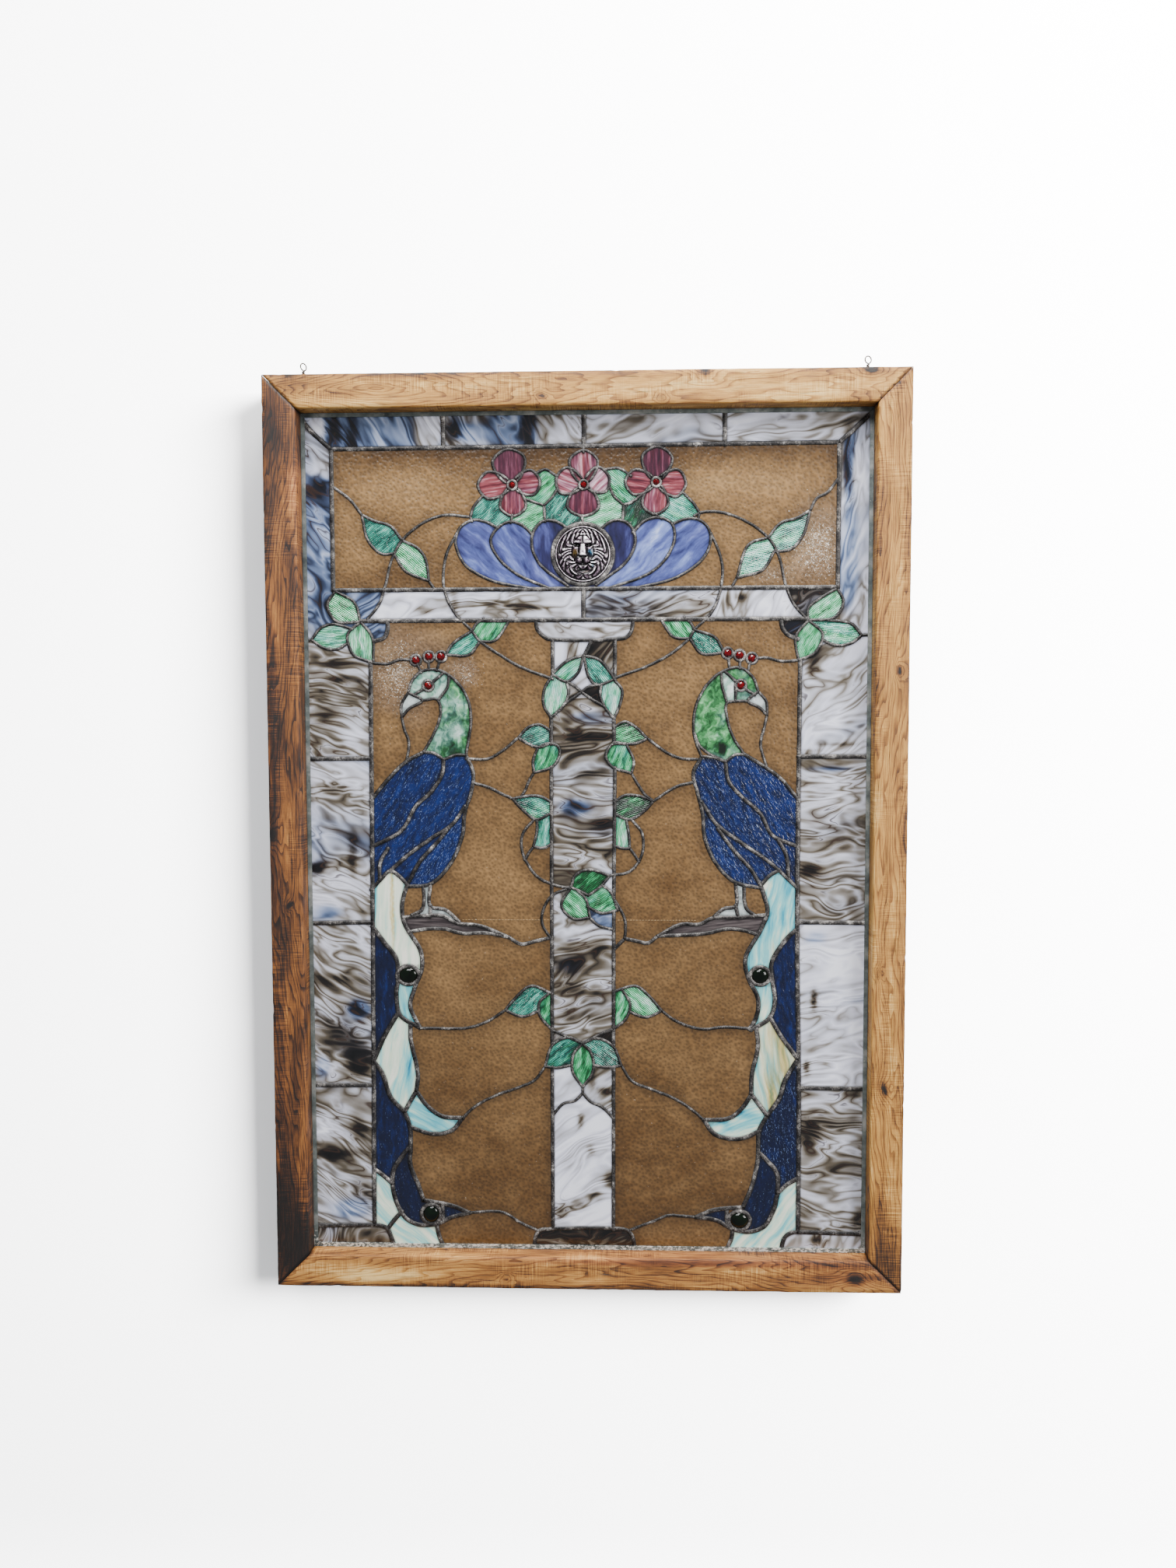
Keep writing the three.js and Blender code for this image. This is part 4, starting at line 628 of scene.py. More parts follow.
@dataclass(frozen=True)
class Pane:
    """One pane: its glass, a point inside it, how its streaks lie and how it differs from its kind.

    The lean runs from dark to pale and the tint from the kind's first colours to its second. Each spot is
    x, z, radius across, radius up, change of lean and change of tint.
    """

    glass: Glass
    x: float
    z: float
    degrees: float = 0.0
    lean: float = 0.0
    tint: float = 0.0
    spots: tuple[tuple[float, float, float, float, float, float], ...] = ()
    node: str = "leading"


MARBLED_PANES = (
    (-240, 465, -60, 0, 0.35, (
        (-285, 465, 9, 26, -0.5, 0.3), (-264, 462, 6, 26, -0.42, 0.3), (-228, 462, 24, 18, 0.05, 0.5),
        (-178, 466, 13, 30, 0.3, -0.6), (-304, 470, 8, 14, 0.3, -0.4)), "pane_border_top_1"),
    (-80, 465, -55, 0.05, 0.2, (
        (-150, 466, 10, 14, -0.5, 0.3), (-132, 460, 12, 9, 0.1, 0.6), (-100, 462, 20, 18, 0, 0.4),
        (-66, 464, 8, 24, -0.6, 0.4), (-25, 462, 22, 25, 0.15, -0.5)), "pane_border_top_2"),
    (80, 465, 5, 0.14, 0.1, (
        (62, 474, 18, 5, -0.3, 0), (75, 460, 10, 6, -0.2, 0)), "pane_border_top_3"),
    (230, 465, 6, 0.12, 0.1, (
        (228, 473, 26, 4, -0.34, 0), (296, 456, 7, 14, -0.4, 0.1)), "pane_border_top_4"),
    (-305, 350, -48, 0.04, 0.35, (
        (-306, 440, 24, 30, 0.2, 0), (-305, 398, 26, 13, -0.5, 0.4), (-305, 340, 26, 40, 0, 0.5),
        (-300, 268, 20, 12, -0.12, 0.4)), "pane_border_left_upper"),
    (303, 350, 82, 0.1, 0.2, (
        (295, 426, 6, 45, -0.55, 0.5), (296, 305, 9, 45, 0, 0.6), (311, 380, 8, 60, 0.2, -0.1),
        (309, 262, 10, 12, 0.1, 0)), "pane_border_right_upper"),
    (-290, 150, -14, -0.06, 0.05, (
        (-285, 201, 26, 5, -0.34, 0), (-300, 141, 12, 7, -0.36, 0), (-268, 117, 14, 14, 0.32, 0.1),
        (-312, 104, 9, 10, -0.24, 0), (-284, 184, 13, 5, -0.34, 0.1)), "pane_border_left_1"),
    (290, 150, 38, 0.14, 0.08, (
        (257, 204, 9, 18, -0.42, 0), (255, 99, 14, 4, -0.36, 0), (286, 108, 26, 3, -0.3, 0)),
        "pane_border_right_1"),
    (-290, 0, -20, 0.1, 0.16, (
        (-290, 58, 15, 7, -0.28, 0), (-271, -22, 5, 24, -0.3, 0), (-312, -35, 10, 8, -0.65, 0.2),
        (-284, -32, 18, 7, -0.16, -0.1), (-303, -86, 18, 8, 0, 0.5)), "pane_border_left_2"),
    (290, 0, 0, -0.03, 0.05, (
        (255, -37, 10, 7, -0.5, 0), (285, 80, 32, 4, -0.14, 0.4), (282, 66, 32, 8, 0.14, 0),
        (285, -60, 30, 8, -0.12, -0.1)), "pane_border_right_2"),
    (-290, -200, -35, 0, 0.14, (
        (-290, -166, 30, 8, -0.28, -0.1), (-266, -200, 13, 10, -0.3, 0.6), (-292, -232, 20, 18, -0.42, 0),
        (-268, -264, 13, 18, -0.5, 0), (-309, -270, 10, 14, 0.1, 0.5), (-300, -124, 20, 12, 0.12, -0.1)),
        "pane_border_left_3"),
    (290, -200, 8, 0.22, 0.1, (
        (263, -114, 18, 13, 0, 0.45), (262, -186, 4, 12, -0.7, 0), (254, -265, 4, 8, -0.6, 0),
        (296, -150, 20, 30, 0.14, 0)), "pane_border_right_3"),
    (-290, -380, -28, -0.02, 0.1, (
        (-284, -310, 15, 8, -0.18, 0), (-311, -345, 12, 14, 0.45, -0.1), (-300, -373, 26, 5, -0.42, 0),
        (-268, -340, 10, 20, -0.28, 0), (-280, -440, 25, 13, 0.12, 0.5), (-286, -402, 20, 10, 0.18, 0)),
        "pane_border_left_4"),
    (290, -380, -4, -0.04, 0, (
        (256, -350, 13, 18, -0.36, 0), (287, -331, 30, 5, -0.16, 0), (290, -400, 30, 9, 0.12, 0),
        (316, -445, 7, 10, -0.4, 0)), "pane_border_right_4"),
    (-290, -472, 80, -0.22, 0.1, (), "pane_border_left_corner"),
    (290, -472, 60, 0.04, 0.1, ((268, -472, 9, 7, -0.5, 0),), "pane_border_right_corner"),
    (-250, 270, 40, -0.05, 0.75),
    (-190, 268, 15, 0.3, 0, ((-186, 262, 10, 4, -0.4, 0),), "pane_lintel_2"),
    (-80, 268, 3, 0.14, 0.05, (
        (-112, 269, 34, 3, -0.5, 0), (-68, 264, 24, 4, -0.5, 0), (-150, 270, 5, 15, -0.34, 0)),
        "pane_lintel_3"),
    (80, 268, 8, 0, 0.24, (), "pane_lintel_4"),
    (190, 268, 70, 0.26, 0, (
        (160, 268, 7, 15, -0.34, 0), (176, 275, 7, 5, -0.4, 0)), "pane_lintel_5"),
    (241, 271, 20, -0.24, 0.2),
    (-239, 239, 30, 0, 0.45),
    (235, 240, 50, -0.5, 0.5),
    (0, 240, -10, 0.14, 0, ((16, 238, 12, 4, -0.26, 0),), "pane_capital"),
    (-25, 215, 80, 0.06, 0, ((-16, 212, 5, 12, -0.3, 0),)),
    (20, 215, 50, -0.26, 0.15),
    (-5, 181, 20, 0.12, 0.2),
    (-15, 170, 20, -0.2, 0.2),
    (7, 167, 20, -0.6, 0.2),
    (-5, 60, 0, -0.06, 0.1, (
        (-5, 140, 34, 10, 0.1, 0.4), (-5, 117, 34, 3, -0.45, 0), (-10, 100, 30, 7, -0.12, -0.1),
        (8, 74, 20, 5, -0.34, 0), (-12, 36, 16, 8, -0.36, 0.45), (20, 18, 14, 8, -0.4, 0.1)),
        "pane_shaft_upper"),
    (-5, -193, 12, 0, 0.08, (
        (0, -108, 30, 9, 0.24, 0), (-16, -150, 16, 15, -0.4, 0.35), (15, -126, 12, 10, -0.3, 0),
        (-5, -178, 26, 8, -0.42, 0), (15, -209, 15, 10, -0.2, 0), (-20, -206, 12, 9, -0.2, 0)),
        "pane_shaft_middle"),
    (23, -96, 30, 0.1, 0.6),
    (27, -55, 30, 0.3, 0),
    (25, -231, 30, -0.5, 0.1),
    (-35, -231, 30, -0.1, 0),
    (-23, -294, 20, 0.3, 0.1),
    (13, -294, 40, -0.02, 0, ((20, -295, 8, 4, -0.4, 0), (5, -285, 6, 10, -0.3, 0))),
    (-5, -360, 28, 0.3, 0.02, (
        (-30, -440, 12, 9, -0.6, 0), (-10, -431, 14, 8, -0.6, 0), (10, -420, 12, 7, -0.6, 0),
        (28, -402, 9, 10, -0.6, 0), (-26, -456, 16, 3, -0.6, 0), (-8, -330, 4, 9, -0.45, 0),
        (4, -365, 5, 5, -0.35, 0)), "pane_shaft_lower"),
    (15, -480, 5, -0.42, 0.15, (), "pane_column_base"),
)
COBALT_PANES = (
    (-223, 38, 58, 0, 0.5, (), "pane_wing_left"), (203, 56, 122, 0, 0.5, (), "pane_wing_right"),
    (-171, 32, 60, 0.02, 0.5), (173, 25, 120, 0, 0.55), (-171, -24, 62, 0.05, 0.65),
    (161, -24, 120, 0.02, 0.6), (-209, -34, 50, 0, 0.45), (203, -34, 130, 0, 0.5),
    (235, -13, 110, -0.06, 0.4), (-235, -169, 88, -0.1, 0.15), (229, -204, 96, -0.08, 0.2),
    (-229, -353, 88, -0.12, 0.22), (223, -353, 98, -0.12, 0.5), (-213, -415, 98, -0.16, 0.32),
    (205, -419, 75, -0.16, 0.3), (155, -443, 90, -0.14, 0.3), (-163, -439.5, 90, -0.14, 0.3),
)
LEAF_PANES = (
    (-231, 343, 38, -0.1, 0.5), (-197, 319, -40, 0.12, 0.1), (229, 343, 20, 0.02, 0.4),
    (193, 322, 10, 0.1, 0.35), (-277, 264, -35, 0.12, 0.05), (-291, 232, 5, 0.08, 0.3),
    (-257, 222, 90, 0.1, 0.15), (275, 264, 40, 0.12, 0.1), (289, 232, -5, 0.04, 0.35),
    (253, 232, 60, 0.14, 0.1), (-137, 222, 30, 0, 0.45), (-113, 236, 60, 0, 0.1),
    (109, 239, -50, 0.04, 0.1), (135, 222, -40, -0.2, 0.8), (-17, 194, 40, 0.14, 0.3),
    (13, 191, -50, -0.04, 0.6), (-35, 163, 80, 0.3, 0.2), (29, 163, 80, 0.26, 0.3),
    (-57, 118, 20, -0.12, 0.5), (-47, 94, 70, -0.02, 0.2), (45, 122, 20, -0.14, 0.1), (37, 94, 70, 0, 0.25),
    (-57, 35, -20, -0.04, 0.4), (-49, 0, 80, 0.06, 0.5), (51, 35, 20, -0.34, 0), (45, -3, 80, 0.22, 0.2),
    (1, -51, 40, -0.24, 0), (-13, -76, -40, 0.06, 0), (17, -72, 30, 0.06, 0.15),
    (-73, -194, 40, -0.04, 0.65), (-49, -194, 70, -0.1, 0.1), (63, -194, -40, 0.12, 0.1),
    (41, -197, 70, 0.02, 0.05), (-31, -252, 35, -0.16, 0.4), (-5, -262, 75, -0.04, 0.05),
    (21, -252, -35, -0.2, 0.7), (-113, 374, 42, 0, 0.55), (-63, 364, 25, 0.14, 0.05),
    (-43, 399, 45, 0.1, 0.15), (-33, 374, 50, -0.06, 0.6), (27, 374, 20, 0.16, 0.15),
    (38, 405, -40, 0.08, 0.25), (55, 368, 60, -0.46, 0.3), (107, 374, -30, 0.1, 0.4),
)
PETAL_PANES = (
    (-87, 426, 92, -0.2, 0.5), (-109, 402, 12, -0.02, 0.1), (-65, 402, 8, 0.02, 0.3),
    (-81, 381, 90, -0.06, 0.3), (1, 426, 95, 0.1, 0.3), (-21, 402, -20, 0.16, 0.3),
    (17, 406, 40, 0.24, 0.4), (-1, 381, 88, -0.16, 0.4), (81, 426, 92, -0.2, 0.4),
    (59, 402, 170, -0.04, 0.2), (99, 402, 2, 0.08, 0.1), (79, 381, 85, 0.04, 0.3), (6, 412, 40, 0, 0.3),
    (-9, 411, -30, 0, 0.3), (-91.5, 408.5, 12, -0.2, 0.3), (-77, 409, 8, -0.2, 0.3),
)
BOWL_PANES = (
    (-127, 336, 140, 0.02, 0.4), (-83, 336, 125, 0.02, 0.3), (-45, 347, 100, -0.2, 0.2),
    (39, 347, 85, -0.22, 0.2), (79, 340, 45, 0.18, 0.3), (121, 336, 40, -0.04, 0.4),
)
TAIL_PANES = (
    (-231, -65, 86, 0.28, 0, ((-247, -75, 5, 35, -0.5, 0), (-226, -70, 3, 60, -0.08, 0.6)),
     "pane_tail_left"),
    (223, -69, 80, -0.08, 0, ((205, -55, 6, 10, 0.5, 0), (222, -130, 12, 25, 0.25, 0.2)),
     "pane_tail_right"),
    (-213, -181, 95, -0.12, 0), (207, -180, 80, -0.1, 0, ((205, -200, 8, 10, 0.3, 0),)),
    (-223, -259, 78, 0.24, 0.05, ((-208, -270, 5, 30, -0.45, 0),)),
    (217, -259, 100, 0.12, 0.3, ((214, -300, 3, 25, -0.45, 0),)), (-195, -329, -25, -0.1, 0),
    (189, -329, 20, 0.16, 0, ((183, -322, 16, 5, -0.55, 0), (160, -332, 6, 5, -0.5, 0))),
    (-237, -436, -50, 0.14, 0), (-197, -484, -40, 0.16, 0),
    (199, -484, 50, 0.16, 0, ((222, -415, 4, 14, -0.4, 0), (196, -455, 4, 14, -0.4, 0))),
)
PLUMAGE_PANES = (
    (-155, 115, 80, -0.1, 0.3, (
        (-152, 165, 10, 14, 0.1, 0), (-148, 120, 10, 10, 0.25, 0.2), (-150, 95, 12, 8, -0.3, 0))),
    (143, 125, 60, -0.02, 0.15, ((155, 105, 5, 8, -0.7, 0), (150, 88, 12, 8, -0.05, 0.4))),
    (-167, 177, 50, 0.06, 0.5, ((-176, 186, 4, 5, -0.6, 0),)), (-195, 177, 30, 0.05, 0.6),
    (171, 187, 40, 0, 0.2), (163, 174, 60, 0.15, 0.4), (177, 163, 40, 0, 0.3),
)
SHANK_PANES = (
    (-203, 156, 40), (197, 156, -40), (-187, -86, 85), (-167, -86, 0), (179, -83, 95), (165, -86, 0),
)
BRANCH_PANES = ((-199, -100, -4), (193, -100, 6))
AMBER_PANES = tuple((x, z, 0, 0, 0, (), f"pane_{name}") for name, x, z in (
    ("sky_left", -200, 400), ("sky_right", 200, 400), ("ground_left_1", -100, 150),
    ("ground_right_1", 100, 150), ("ground_left_2", -110, 0), ("ground_right_2", 105, 0),
    ("ground_left_3", -110, -160), ("ground_right_3", 110, -160), ("ground_left_4", -130, -260),
    ("ground_right_4", 130, -260), ("ground_left_5", -110, -380), ("ground_right_5", 110, -380),
))
PANES = tuple(
    Pane(glass, *row)
    for glass, rows in (
        (Glass.MARBLED, MARBLED_PANES), (Glass.COBALT, COBALT_PANES), (Glass.LEAF, LEAF_PANES),
        (Glass.PETAL, PETAL_PANES), (Glass.BOWL, BOWL_PANES), (Glass.TAIL, TAIL_PANES),
        (Glass.PLUMAGE, PLUMAGE_PANES), (Glass.SHANK, SHANK_PANES), (Glass.BRANCH, BRANCH_PANES),
        (Glass.AMBER, AMBER_PANES),
    )
    for row in rows
)
"""Every pane that isn't one of the small amber ones. A row holds what a pane holds after its glass."""

AMBER_PAINTED_LIGHT = (
    (-215, 190, 38, 50, 0, 0.75), (-140, 190, 22, 22, 0, 0.6), (262, 330, 34, 45, 0, 0.8),
    (205, 300, 30, 14, 0, 0.5), (0, 446, 330, 26, -0.34, 0), (200, 232, 30, 12, 0, 0.25),
    (0, 400, 330, 140, 0.1, 0), (0, -480, 330, 190, -0.16, 0), (-200, 405, 55, 26, 0.16, 0),
    (170, 405, 70, 30, 0.16, 0), (-215, 300, 60, 14, -0.14, 0),
)
# Painted light on the amber glass, spots as in a pane: a painted shadow along the top, paler high up and
# darker low down, a few paler and darker painted patches, and painted glints where the tint is raised.
"""Where the amber glass is paler, darker or sparkles, spots as in a pane."""


Color = tuple[float, float, float]
Stops = tuple[tuple[float, Color], ...]


def linear(color: Color) -> tuple[float, float, float, float]:
    """Turns a colour of 0 to 255 steps into the renderer's own values, deepened for bright soft light."""
    steps = [value / 255 for value in color]
    plain = (s / 12.92 if s <= 0.04045 else ((s + 0.055) / 1.055) ** 2.4 for s in steps)
    return (*(0.93 * value**1.17 for value in plain), 1.0)


class Shader:
    """Builds one procedural material, node by node, round a principled surface."""

    def __init__(self, name: str, **settings: float | tuple) -> None:
        """Starts a material.

        Args:
            name: The material's name.
            settings: Values for the surface's own sockets, with underscores for spaces.
        """
        self.material = bpy.data.materials.new(name)
        self.material.use_nodes = True
        self.tree = self.material.node_tree
        self.tree.nodes.clear()
        self.surface = self.tree.nodes.new("ShaderNodeBsdfPrincipled")
        output = self.tree.nodes.new("ShaderNodeOutputMaterial")
        self.tree.links.new(self.surface.outputs["BSDF"], output.inputs["Surface"])
        for key, value in settings.items():
            self.surface.inputs[key.replace("_", " ")].default_value = value

    def feed(self, socket: bpy.types.NodeSocket, value: object) -> None:
        """Links a socket to another, or sets its value."""
        if isinstance(value, bpy.types.NodeSocket):
            self.tree.links.new(value, socket)
        else:
            socket.default_value = value

    def node(self, kind: str, inputs: Sequence[object], **settings: object) -> bpy.types.Node:
        """Adds a node, with its settings and its first inputs in order, leaving out those that are None.

        Args:
            kind: The node's kind.
            inputs: What feeds its first sockets.
            settings: The node's own settings.

        Returns:
            The node.
        """
        made = self.tree.nodes.new(kind)
        for key, value in settings.items():
            setattr(made, key, value)
        for socket, value in zip(made.inputs, inputs):
            if value is not None:
                self.feed(socket, value)
        return made

    def math(self, operation: str, *values: object, clamp: bool = False) -> bpy.types.NodeSocket:
        """Returns the result of a sum on numbers."""
        return self.node("ShaderNodeMath", values, operation=operation, use_clamp=clamp).outputs[0]

    def vector(self, operation: str, *values: object) -> bpy.types.NodeSocket:
        """Returns the result of a sum on vectors."""
        return self.node("ShaderNodeVectorMath", values, operation=operation).outputs[0]

    def noise(
        self, place: object, sizes: float | tuple, detail: float = 3.0, rough: float = 0.55,
        bend: float = 0.0, output: str = "Fac",
    ) -> bpy.types.NodeSocket:
        """Returns soft noise.

        Args:
            place: Where it is looked up, in mm.
            sizes: Its bumps to a mm, one number or one for each axis.
            detail: How many finer layers it has.
            rough: How strong the finer layers are.
            bend: How far it is bent by itself.
            output: "Fac" for one value or "Color" for three.

        Returns:
            The noise, 0 to 1.
        """
        if not isinstance(sizes, tuple):
            sizes = (sizes, sizes, sizes)
        made = self.node("ShaderNodeTexNoise", (self.vector("MULTIPLY", place, sizes),))
        for key, value in (("Scale", 1.0), ("Detail", detail), ("Roughness", rough), ("Distortion", bend)):
            made.inputs[key].default_value = value
        return made.outputs[output]

    def step(
        self, value: object, low: object, high: object, start: float = 0.0, end: float = 1.0,
    ) -> bpy.types.NodeSocket:
        """Returns a soft step from start to end as the value passes from low to high."""
        bounds = (value, low, high, start, end)
        return self.node("ShaderNodeMapRange", bounds, interpolation_type="SMOOTHSTEP").outputs[0]

    def ramp(self, value: object, stops: Stops) -> bpy.types.NodeSocket:
        """Returns the colour that a run of colours has at a value.

        Args:
            value: What runs along the ramp, 0 to 1.
            stops: Where each colour lies on it.

        Returns:
            The colour.
        """
        made = self.node("ShaderNodeValToRGB", (value,))
        elements = made.color_ramp.elements
        for _ in range(len(stops) - 2):
            elements.new(0.5)
        for element, (position, color) in zip(elements, stops):
            element.position = position
            element.color = linear(color)
        return made.outputs[0]

    def blend(
        self, share: object, first: object, second: object, mode: str = "MIX",
    ) -> bpy.types.NodeSocket:
        """Returns a mix of two colours."""
        made = self.node("ShaderNodeMix", (), data_type="RGBA", blend_type=mode)
        for socket, value in ((made.inputs[0], share), (made.inputs[6], first), (made.inputs[7], second)):
            self.feed(socket, value)
        return made.outputs[2]

    def attribute(self, name: str) -> bpy.types.NodeSocket:
        """Returns a value that the mesh carries at each point."""
        return self.node("ShaderNodeAttribute", (), attribute_name=name).outputs["Vector"]

    def parts(self, value: object) -> tuple[bpy.types.NodeSocket, ...]:
        """Returns the three parts of a vector."""
        return tuple(self.node("ShaderNodeSeparateXYZ", (value,)).outputs)

    def place(self) -> bpy.types.NodeSocket:
        """Returns the place on the object, in millimetres."""
        inside = self.node("ShaderNodeTexCoord", ()).outputs["Object"]
        return self.vector("MULTIPLY", inside, (1000.0, 1000.0, 1000.0))

    def paint(self, color: object) -> None:
        """Gives the surface its colour."""
        self.feed(self.surface.inputs["Base Color"], color)

    def relief(self, height: object, depth: float) -> None:
        """Raises and sinks the surface by a height of 0 to 1, which stands for a depth in mm."""
        bump = self.node("ShaderNodeBump", ())
        bump.inputs["Distance"].default_value = depth * MM
        self.feed(bump.inputs["Height"], height)
        self.feed(self.surface.inputs["Normal"], bump.outputs[0])


class Surface(Enum):
    """How the face of a sheet of glass was rolled."""

    SMOOTH = "smooth"
    HAMMERED = "hammered"
    RIPPLED = "rippled"
    RIBBED = "ribbed"


@dataclass(frozen=True)
class SheetGlass:
    """A sheet of streaky glass: one or two runs of colour, its streaks in mm, its veins and its face."""

    name: str
    first: Stops
    second: Stops = ()
    length: float = 40.0
    width: float = 8.0
    contrast: float = 1.3
    bend: float = 6.0
    detail: float = 5.0
    bands: float = 0.0
    vein: float = 0.0
    vein_color: Color = (60, 42, 32)
    # Bright flecks; on the amber and cobalt glass they are painted glints and highlights.
    fleck_and_glint: float = 0.0
    fleck_color: Color = (235, 235, 235)
    fleck_size: tuple[float, float] = (1.5, 1.5)
    surface: Surface = Surface.SMOOTH
    pitch: float = 3.0
    depth: float = 0.2
    # The next two fields: within how many mm of a lead, and down to what share, the glass is darkened;
    # partly grime at the leads, partly painted shade beside them.
    grime: float = 2.4
    grime_tone: float = 0.5
    roughness: float = 0.3

    def material(self) -> bpy.types.Material:
        """Returns the finish as a material."""
        shader = Shader(self.name, Roughness=self.roughness, Coat_Weight=0.3, Coat_Roughness=0.08)
        grain = shader.attribute("grain")
        lean, tint, clear = shader.parts(shader.attribute("tone"))
        drift = shader.noise(grain, 1 / self.length, 2.0, output="Color")
        drift = shader.vector("MULTIPLY_ADD", drift, (self.bend * 4,) * 3, (-self.bend * 2,) * 3)
        bent = shader.vector("ADD", grain, drift)
        sizes = (1 / self.length, 1 / self.width, 1 / self.width)
        flowing = tuple(0.7 * size for size in sizes)
        streaks = shader.noise(bent, sizes, self.detail, 0.6)
        level = shader.math("MULTIPLY_ADD", streaks, self.contrast, 0.5 - self.contrast / 2)
        level = shader.math("ADD", level, lean, clamp=True)
        if self.bands:
            flow = shader.noise(bent, flowing, 2.0, 0.5, 1.4)
            folds = shader.math("PINGPONG", shader.math("MULTIPLY", flow, 7.0), 0.5)
            folds = shader.math("MULTIPLY_ADD", folds, self.bands, -self.bands / 4)
            level = shader.math("ADD", level, folds, clamp=True)
        broad = shader.noise(bent, tuple(0.6 * size for size in sizes))
        share = shader.step(shader.math("ADD", broad, tint), 0.62, 0.98)
        second = shader.ramp(level, self.second or self.first)
        color = shader.blend(share, shader.ramp(level, self.first), second)
        if self.vein:
            color = self.veined(shader, color, bent, flowing, lean)
        if self.fleck_and_glint:
            color = self.flecked_and_glinting(shader, color, grain, tint)
        # Darker towards the leads: partly grime, partly painted shade where the lead meets the glass.
        shade = shader.step(clear, 0.0, self.grime, self.grime_tone, 1.0)
        shade = shader.node("ShaderNodeCombineColor", (shade, shade, shade)).outputs[0]
        color = shader.blend(1.0, color, shade, "MULTIPLY")
        height = self.face(shader, grain)
        if self.surface in (Surface.HAMMERED, Surface.RIPPLED, Surface.RIBBED):
            # Painted shade: the low parts of the rolled face are darkened.
            shaded_hollows = shader.ramp(height, ((0.2, (205, 205, 205)), (0.75, (255, 255, 255))))
            color = shader.blend(1.0, color, shaded_hollows, "MULTIPLY")
        shader.paint(color)
        shader.relief(height, self.depth)
        return shader.material

    def veined(
        self, shader: Shader, color: object, bent: object, sizes: tuple, lean: object,
    ) -> bpy.types.NodeSocket:
        """Returns the colour with thin dark veins that follow its flow.

        Args:
            shader: The material in the making.
            color: The colour so far.
            bent: The bent place in the glass.
            sizes: The bumps of its flow to a mm.
            lean: How pale the glass is there.

        Returns:
            The colour with its veins.
        """
        flow = shader.noise(bent, sizes, 2.0, 0.5, 1.4)
        nested = shader.math("PINGPONG", shader.math("MULTIPLY", flow, 14.0), 0.5)
        line = shader.step(nested, 0.02, 0.14, 1.0, 0.0)
        patch = shader.noise(bent, (0.02, 0.035, 0.035), 2.0)
        amount = shader.step(shader.math("SUBTRACT", patch, shader.math("MULTIPLY", lean, 0.5)), 0.46, 0.64)
        share = shader.math("MULTIPLY", shader.math("MULTIPLY", line, amount), self.vein)
        return shader.blend(share, color, linear(self.vein_color))

    def flecked_and_glinting(self, shader: Shader, color: object, grain: object, tint: object) -> bpy.types.NodeSocket:
        """Returns the colour with small bright flecks, more of them where the tint is strong; on the amber
        and cobalt glass they are painted glints and highlights.
        """
        speck = shader.noise(grain, (1 / self.fleck_size[0], 1 / self.fleck_size[1], 1.0), 2.0, 0.5, 1.2)
        edge = shader.math("MULTIPLY_ADD", tint, -0.24, 0.74)
        share = shader.step(speck, edge, shader.math("ADD", edge, 0.07))
        return shader.blend(shader.math("MULTIPLY", share, self.fleck_and_glint), color, linear(self.fleck_color))

    def face(self, shader: Shader, grain: object) -> bpy.types.NodeSocket:
        """Returns the height of the glass's face.

        Args:
            shader: The material in the making.
            grain: The place in the glass.

        Returns:
            The height, 0 to 1.
        """
        if self.surface is Surface.RIBBED:
            across = shader.parts(grain)[1]
            wobble = shader.math("MULTIPLY", shader.noise(grain, 0.1, 1.0), 9.0)
            phase = shader.math("MULTIPLY_ADD", across, 2 * math.pi / self.pitch, wobble)
            return shader.math("SINE", phase)
        if self.surface is Surface.HAMMERED:
            place = shader.vector("MULTIPLY", grain, (1 / self.pitch,) * 3)
            cells = shader.node("ShaderNodeTexVoronoi", (place,), feature="SMOOTH_F1")
            cells.inputs["Scale"].default_value = 1.0
            return cells.outputs["Distance"]
        stretch = (0.5, 1.2, 1) if self.surface is Surface.RIPPLED else (0.1, 0.2, 0.2)
        return shader.noise(grain, tuple(s / self.pitch for s in stretch), 2.0)


